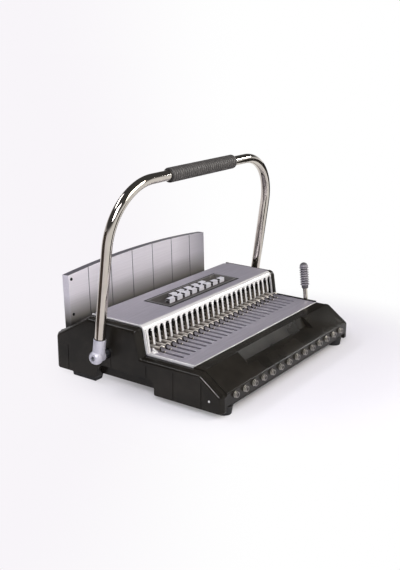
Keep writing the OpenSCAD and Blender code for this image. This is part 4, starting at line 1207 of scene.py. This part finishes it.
class BINDER_OT_opener_lever(bpy.types.Operator):
    """Small lever with a chrome rod and a ribbed grip"""
    bl_idname = "binder.opener_lever"
    bl_label = "Opener Lever"

    def execute(self, context):
        pivot = Matrix.Translation((LEVER_X, LEVER.y, LEVER.z))
        place = pivot @ Matrix.Rotation(-LEVER_LEAN, 4, "X")
        r, start, length = LEVER_GRIP_R, 62 * MM, 47 * MM
        neck, ribs, dome = 5 * MM, 8, 8 * MM
        profile = [(0, start), (5.0 * MM, start), (5.6 * MM, start + 0.6 * MM), (6.0 * MM, start + 4 * MM)]
        rib = (length - neck - dome) / ribs
        for i in range(ribs):
            base = start + neck + i * rib
            for share in (0.02, 0.14, 0.26, 0.38, 0.5, 0.62, 0.74, 0.86, 0.98):
                dip = 1.2 * MM * (1 + math.cos(math.tau * share))
                profile.append((r - dip, base + share * rib))
        top = start + length
        for k in range(8):
            turn = QUARTER * k / 8
            rise = (dome - 0.6 * MM) * math.sin(turn)
            profile.append(((r - 0.7 * MM) * math.cos(turn), top - dome + rise))
        profile.append((0, top - 0.6 * MM))
        piece("opener_grip", lathe(profile, 36, place), "lever_vinyl", "opener_lever",
              ["lever_grip"], 50)
        rod_r, rod_end, boss_r, boss_half = 4 * MM, start + 30 * MM, 7.5 * MM, 4.5 * MM
        rod = lathe([(0, 0), (rod_r, 0), (rod_r, rod_end), (0, rod_end)], 32, place)
        boss = [(0, -boss_half), (boss_r, -boss_half), (boss_r, boss_half), (0, boss_half)]
        turned = lathe(boss, 36, pivot @ Matrix.Rotation(QUARTER, 4, "Y"))
        piece("opener_rod", join(rod, turned), "chrome_plating", "opener_lever", ["lever_rod"])
        return {"FINISHED"}


# Screws and the works inside
class BINDER_OT_screws(bpy.types.Operator):
    """Screws of the panel, the side covers and the pan"""
    bl_idname = "binder.screws"
    bl_label = "Screws"

    def execute(self, context):
        diameter = context.scene.binder_sizes.screw_d
        black, bright = finish("black_oxide"), finish("nickel_plating")
        lower, upper = low("cover_screws"), high("cover_screws")
        x = lower.x + diameter / 2
        places = [(x, lower.y + 1.45 * MM, lower.z + diameter / 2), (x, upper.y, upper.z - diameter / 2)]
        upright = Matrix.Rotation(QUARTER - PANEL_LEAN, 4, "X")
        obj = scatter("panel_screws", screw_mesh(diameter, 1.4 * MM, upright), places, black)
        fit(obj, "frame", ["cover_screws"])
        for side, name in SIDES:
            outwards = Matrix.Rotation(side * QUARTER, 4, "Y")
            places = [(side * (OUTER_X - 0.6 * MM), WALL_Y - 120 * MM, 25 * MM)]
            head = screw_mesh(diameter * 0.7, 1.1 * MM, outwards)
            fit(scatter(name + "_cover_screws", head, places, bright), "frame")
        under = Matrix.Rotation(math.pi, 4, "X")
        pan = low("base_pan").z
        places = [(x * MM, y * MM, pan) for x in (-150, -50, 50, 150) for y in (-120, 60)]
        head = screw_mesh(diameter * 1.3, 1.6 * MM, under)
        fit(scatter("pan_screws", head, places, black), "frame")
        return {"FINISHED"}


class BINDER_OT_inner_works(bpy.types.Operator):
    """Finishes of the frame, shafts, punch and carriage inside"""
    bl_idname = "binder.inner_works"
    bl_label = "Inner Works"

    def execute(self, context):
        coats = {
            "ground_steel": ("frame_plates", "pin_guide", "die_plate", "knob_rail", "cross_shaft",
                             "punch_cams", "pressure_bar", "punch_pins", "lever_crank"),
            "black_oxide": ("hook_bar",),
            "sintered_bronze": ("shaft_bushes",),
        }
        for coat, nodes in coats.items():
            for name in nodes:
                for material_slot in frame["nodes"][name].material_slots:
                    material_slot.material = finish(coat)
        return {"FINISHED"}


# The studio
def photo_camera():
    """The camera of the photograph, fitted to the machine's known points."""
    data = bpy.data.cameras.new("photo_camera")
    data.sensor_width = 36.0
    data.lens = 54.23
    data.clip_end = 50.0
    camera = bpy.data.objects.new("photo_camera", data)
    bpy.context.scene.collection.objects.link(camera)
    right = Vector((0.5737, -0.8190, 0.0051))
    up = Vector((0.2319, 0.1684, 0.9580))
    back = right.cross(up).normalized()
    right = up.cross(back).normalized()
    up = back.cross(right)
    turn = Matrix((right, up, back)).transposed().to_4x4()
    camera.matrix_world = Matrix.Translation((-1.1072, WALL_Y - 0.7378, 0.5229)) @ turn
    bpy.context.scene.camera = camera


def softbox(name, place, target, size, power, colour):
    """A rectangular lamp at a place, aimed at a target."""
    data = bpy.data.lights.new(name, "AREA")
    data.shape = "RECTANGLE"
    data.size, data.size_y = size
    data.energy = power
    data.color = colour
    lamp = bpy.data.objects.new(name, data)
    bpy.context.scene.collection.objects.link(lamp)
    aim = (Vector(target) - Vector(place)).to_track_quat("-Z", "Y")
    lamp.matrix_world = Matrix.Translation(place) @ aim.to_matrix().to_4x4()
    return lamp


def highlight(name, place, target, size, power):
    """A lamp that shows in glossy surfaces alone."""
    lamp = softbox(name, place, target, size, power, linear("#ffffff"))
    lamp.visible_diffuse = False


def seen_directly(tree):
    """1 on camera, glossy and transmission rays, 0 on rays that only carry light."""
    ray = add(tree, "ShaderNodeLightPath").outputs
    first = add(tree, MATH, {"operation": "MAXIMUM"}, {0: ray["Is Camera Ray"], 1: ray["Is Glossy Ray"]})
    both = add(tree, MATH, {"operation": "MAXIMUM"}, {0: first.outputs[0], 1: ray["Is Transmission Ray"]})
    return both.outputs[0]


def pale_tint(tree, side):
    """White on the right of the stage, turning a faint lilac on the left."""
    step = {"interpolation_type": "SMOOTHSTEP", "From Min": -0.06, "From Max": 0.2}
    share = add(tree, MAP_RANGE, step, {"Value": side}).outputs["Result"]
    return blend(tree, share, 0.0, 1.0, linear("#ffffff"), linear("#f8f5f9"))


def studio_world():
    """A pale horizon under a dim ceiling, with an even fill light."""
    world = bpy.data.worlds.new("Studio")
    world.use_nodes = True
    tree = world.node_tree
    tree.nodes.clear()
    direction = add(tree, "ShaderNodeTexCoord").outputs["Generated"]
    height = add(tree, SEPARATE, links={"Vector": direction}).outputs["Z"]
    dimming = {"interpolation_type": "SMOOTHSTEP", "From Min": 0.03, "From Max": 0.32,
               "To Min": 1.0, "To Max": 0.07}
    band = add(tree, MAP_RANGE, dimming, {"Value": height}).outputs["Result"]
    fill = add(tree, "ShaderNodeBackground", {"Color": (*linear("#e2e2f0"), 1.0), "Strength": 0.38})
    left = add(tree, VECTOR_MATH, {"operation": "DOT_PRODUCT", 1: STAGE_LEFT}, {0: direction})
    tint = pale_tint(tree, left.outputs["Value"])
    room = add(tree, "ShaderNodeBackground", links={"Color": tint, "Strength": band})
    rays = {0: seen_directly(tree), 1: fill.outputs[0], 2: room.outputs[0]}
    mix = add(tree, "ShaderNodeMixShader", links=rays)
    add(tree, "ShaderNodeOutputWorld", links={"Surface": mix.outputs[0]})
    bpy.context.scene.world = world


def studio_floor(colours):
    """Matte paper that fades to plain white away from the machine."""
    bm = bmesh.new()
    bmesh.ops.create_grid(bm, x_segments=8, y_segments=8, size=12.0)
    material, tree, place, fibre = blank_material("Matte white paper floor", (2.0, 3.0))
    tone = blend(tree, fibre, *EVEN, scaled(colours.floor, 0.985), colours.floor)
    coated(material, tone, 0.9)
    reach = add(tree, VECTOR_MATH, {"operation": "DISTANCE", 1: (0.07, -0.09, 0)}, {0: place})
    fading = {"interpolation_type": "SMOOTHSTEP", "From Min": 0.18, "From Max": 0.4}
    far = add(tree, MAP_RANGE, fading, {"Value": reach.outputs["Value"]}).outputs["Result"]
    share = add(tree, MATH, {"operation": "MULTIPLY"}, {0: far, 1: seen_directly(tree)})
    span = add(tree, VECTOR_MATH, {"operation": "LENGTH"}, {0: place})
    room = add(tree, MATH, {"operation": "ADD", 1: 0.6}, {0: span.outputs["Value"]})
    left = add(tree, VECTOR_MATH, {"operation": "DOT_PRODUCT", 1: STAGE_LEFT}, {0: place})
    side = add(tree, MATH, {"operation": "DIVIDE"}, {0: left.outputs["Value"], 1: room.outputs[0]})
    white = add(tree, "ShaderNodeEmission", {"Strength": 1.0}, {"Color": pale_tint(tree, side.outputs[0])})
    paper = tree.nodes[SHADER].outputs["BSDF"]
    mix = add(tree, "ShaderNodeMixShader", links={0: share.outputs[0], 1: paper, 2: white.outputs[0]})
    tree.links.new(mix.outputs[0], tree.nodes[OUTPUT].inputs["Surface"])
    floor = new_object("studio_floor", bm, material)


def studio_flag(name, lowest, highest, dark="#1b1713", light="#2a241e"):
    """A felt card that shows only in reflections and casts no shadow."""
    material, tree, _, nap = blank_material("Felt card", (3.0, 2.0))
    coated(material, blend(tree, nap, *EVEN, linear(dark), linear(light)), 0.9)
    card = new_object(name, box_mesh(lowest, highest), material)
    card.visible_camera = False
    card.visible_diffuse = False
    card.visible_shadow = False


class BINDER_OT_stage(bpy.types.Operator):
    """Pale floor, soft lights and the camera"""
    bl_idname = "binder.stage"
    bl_label = "Stage"

    def execute(self, context):
        context.scene.view_settings.view_transform = "Standard"
        studio_world()
        studio_floor(context.scene.binder_colours)
        photo_camera()
        studio_flag("front_flag", (-0.1, -0.302, 0.0), (0.1, -0.3, 0.22))
        studio_flag("rear_flag", (-0.55, 0.35, 0.0), (-0.3, 0.352, 0.3))
        studio_flag("left_flag", (-0.402, 0.05, 0.0), (-0.4, 0.32, 0.3), "#544a41", "#665a4f")
        studio_flag("right_flag", (0.6, -0.3, 0.0), (0.602, 0.15, 0.3))
        softbox("key_light", (0.4, -1.4, 1.1), (0, 0, 0.05), (1.0, 0.8), 18, linear("#fffaf2"))
        softbox("left_light", (-0.9, -0.5, 0.9), (-0.05, 0, 0.05), (0.5, 0.5), 7, linear("#faf8ff"))
        highlight("glint_light", (-0.95, -0.42, 1.1), (-0.15, -0.1, 0.05), (0.12, 0.12), 5)
        highlight("notch_light", (-0.9, -0.5, 0.9), (0.1, -0.13, 0.05), (0.12, 0.12), 5)
        highlight("edge_glint", (-0.6, 1.05, 1.55), (0, 0, 0.1), (1.0, 0.12), 5)
        softbox("edge_light", (-0.6, 1.05, 1.55), (0, 0, 0.1), (1.0, 0.3), 6, linear("#f4f4ff"))
        highlight("lip_light", (1.31, -0.71, 0.74), (0, -0.15, 0.04), (0.45, 0.12), 6)
        return {"FINISHED"}


PIECES = (
    BINDER_OT_side_covers,
    BINDER_OT_other_covers,
    BINDER_OT_decks,
    BINDER_OT_edge_trim,
    BINDER_OT_comb_wall,
    BINDER_OT_comb_tines,
    BINDER_OT_comb_hooks,
    BINDER_OT_end_stop,
    BINDER_OT_key_tray,
    BINDER_OT_keys,
    BINDER_OT_knobs,
    BINDER_OT_paper_support,
    BINDER_OT_handle,
    BINDER_OT_hubs,
    BINDER_OT_handle_grip,
    BINDER_OT_opener_lever,
    BINDER_OT_screws,
    BINDER_OT_inner_works,
    BINDER_OT_stage,
)


class BINDER_PT_pieces(bpy.types.Panel):
    """Settings and pieces of the machine"""
    bl_idname = "BINDER_PT_pieces"
    bl_label = "Binding Machine"
    bl_space_type = "VIEW_3D"
    bl_region_type = "UI"
    bl_category = "Binding Machine"

    def draw(self, context):
        layout = self.layout
        for group in (context.scene.binder_sizes, context.scene.binder_colours):
            box = layout.box()
            for name in group.__annotations__:
                box.prop(group, name)
        for operator in PIECES:
            layout.operator(operator.bl_idname)


CLASSES = (BinderSizes, BinderColours, *PIECES, BINDER_PT_pieces)


def register():
    for cls in CLASSES:
        bpy.utils.register_class(cls)
    bpy.types.Scene.binder_sizes = PointerProperty(type=BinderSizes)
    bpy.types.Scene.binder_colours = PointerProperty(type=BinderColours)


def unregister():
    del bpy.types.Scene.binder_colours
    del bpy.types.Scene.binder_sizes
    for cls in reversed(CLASSES):
        bpy.utils.unregister_class(cls)


def main():
    register()
    for operator in PIECES:
        group, name = operator.bl_idname.split(".")
        getattr(getattr(bpy.ops, group), name)()


if __name__ == "__main__":
    main()
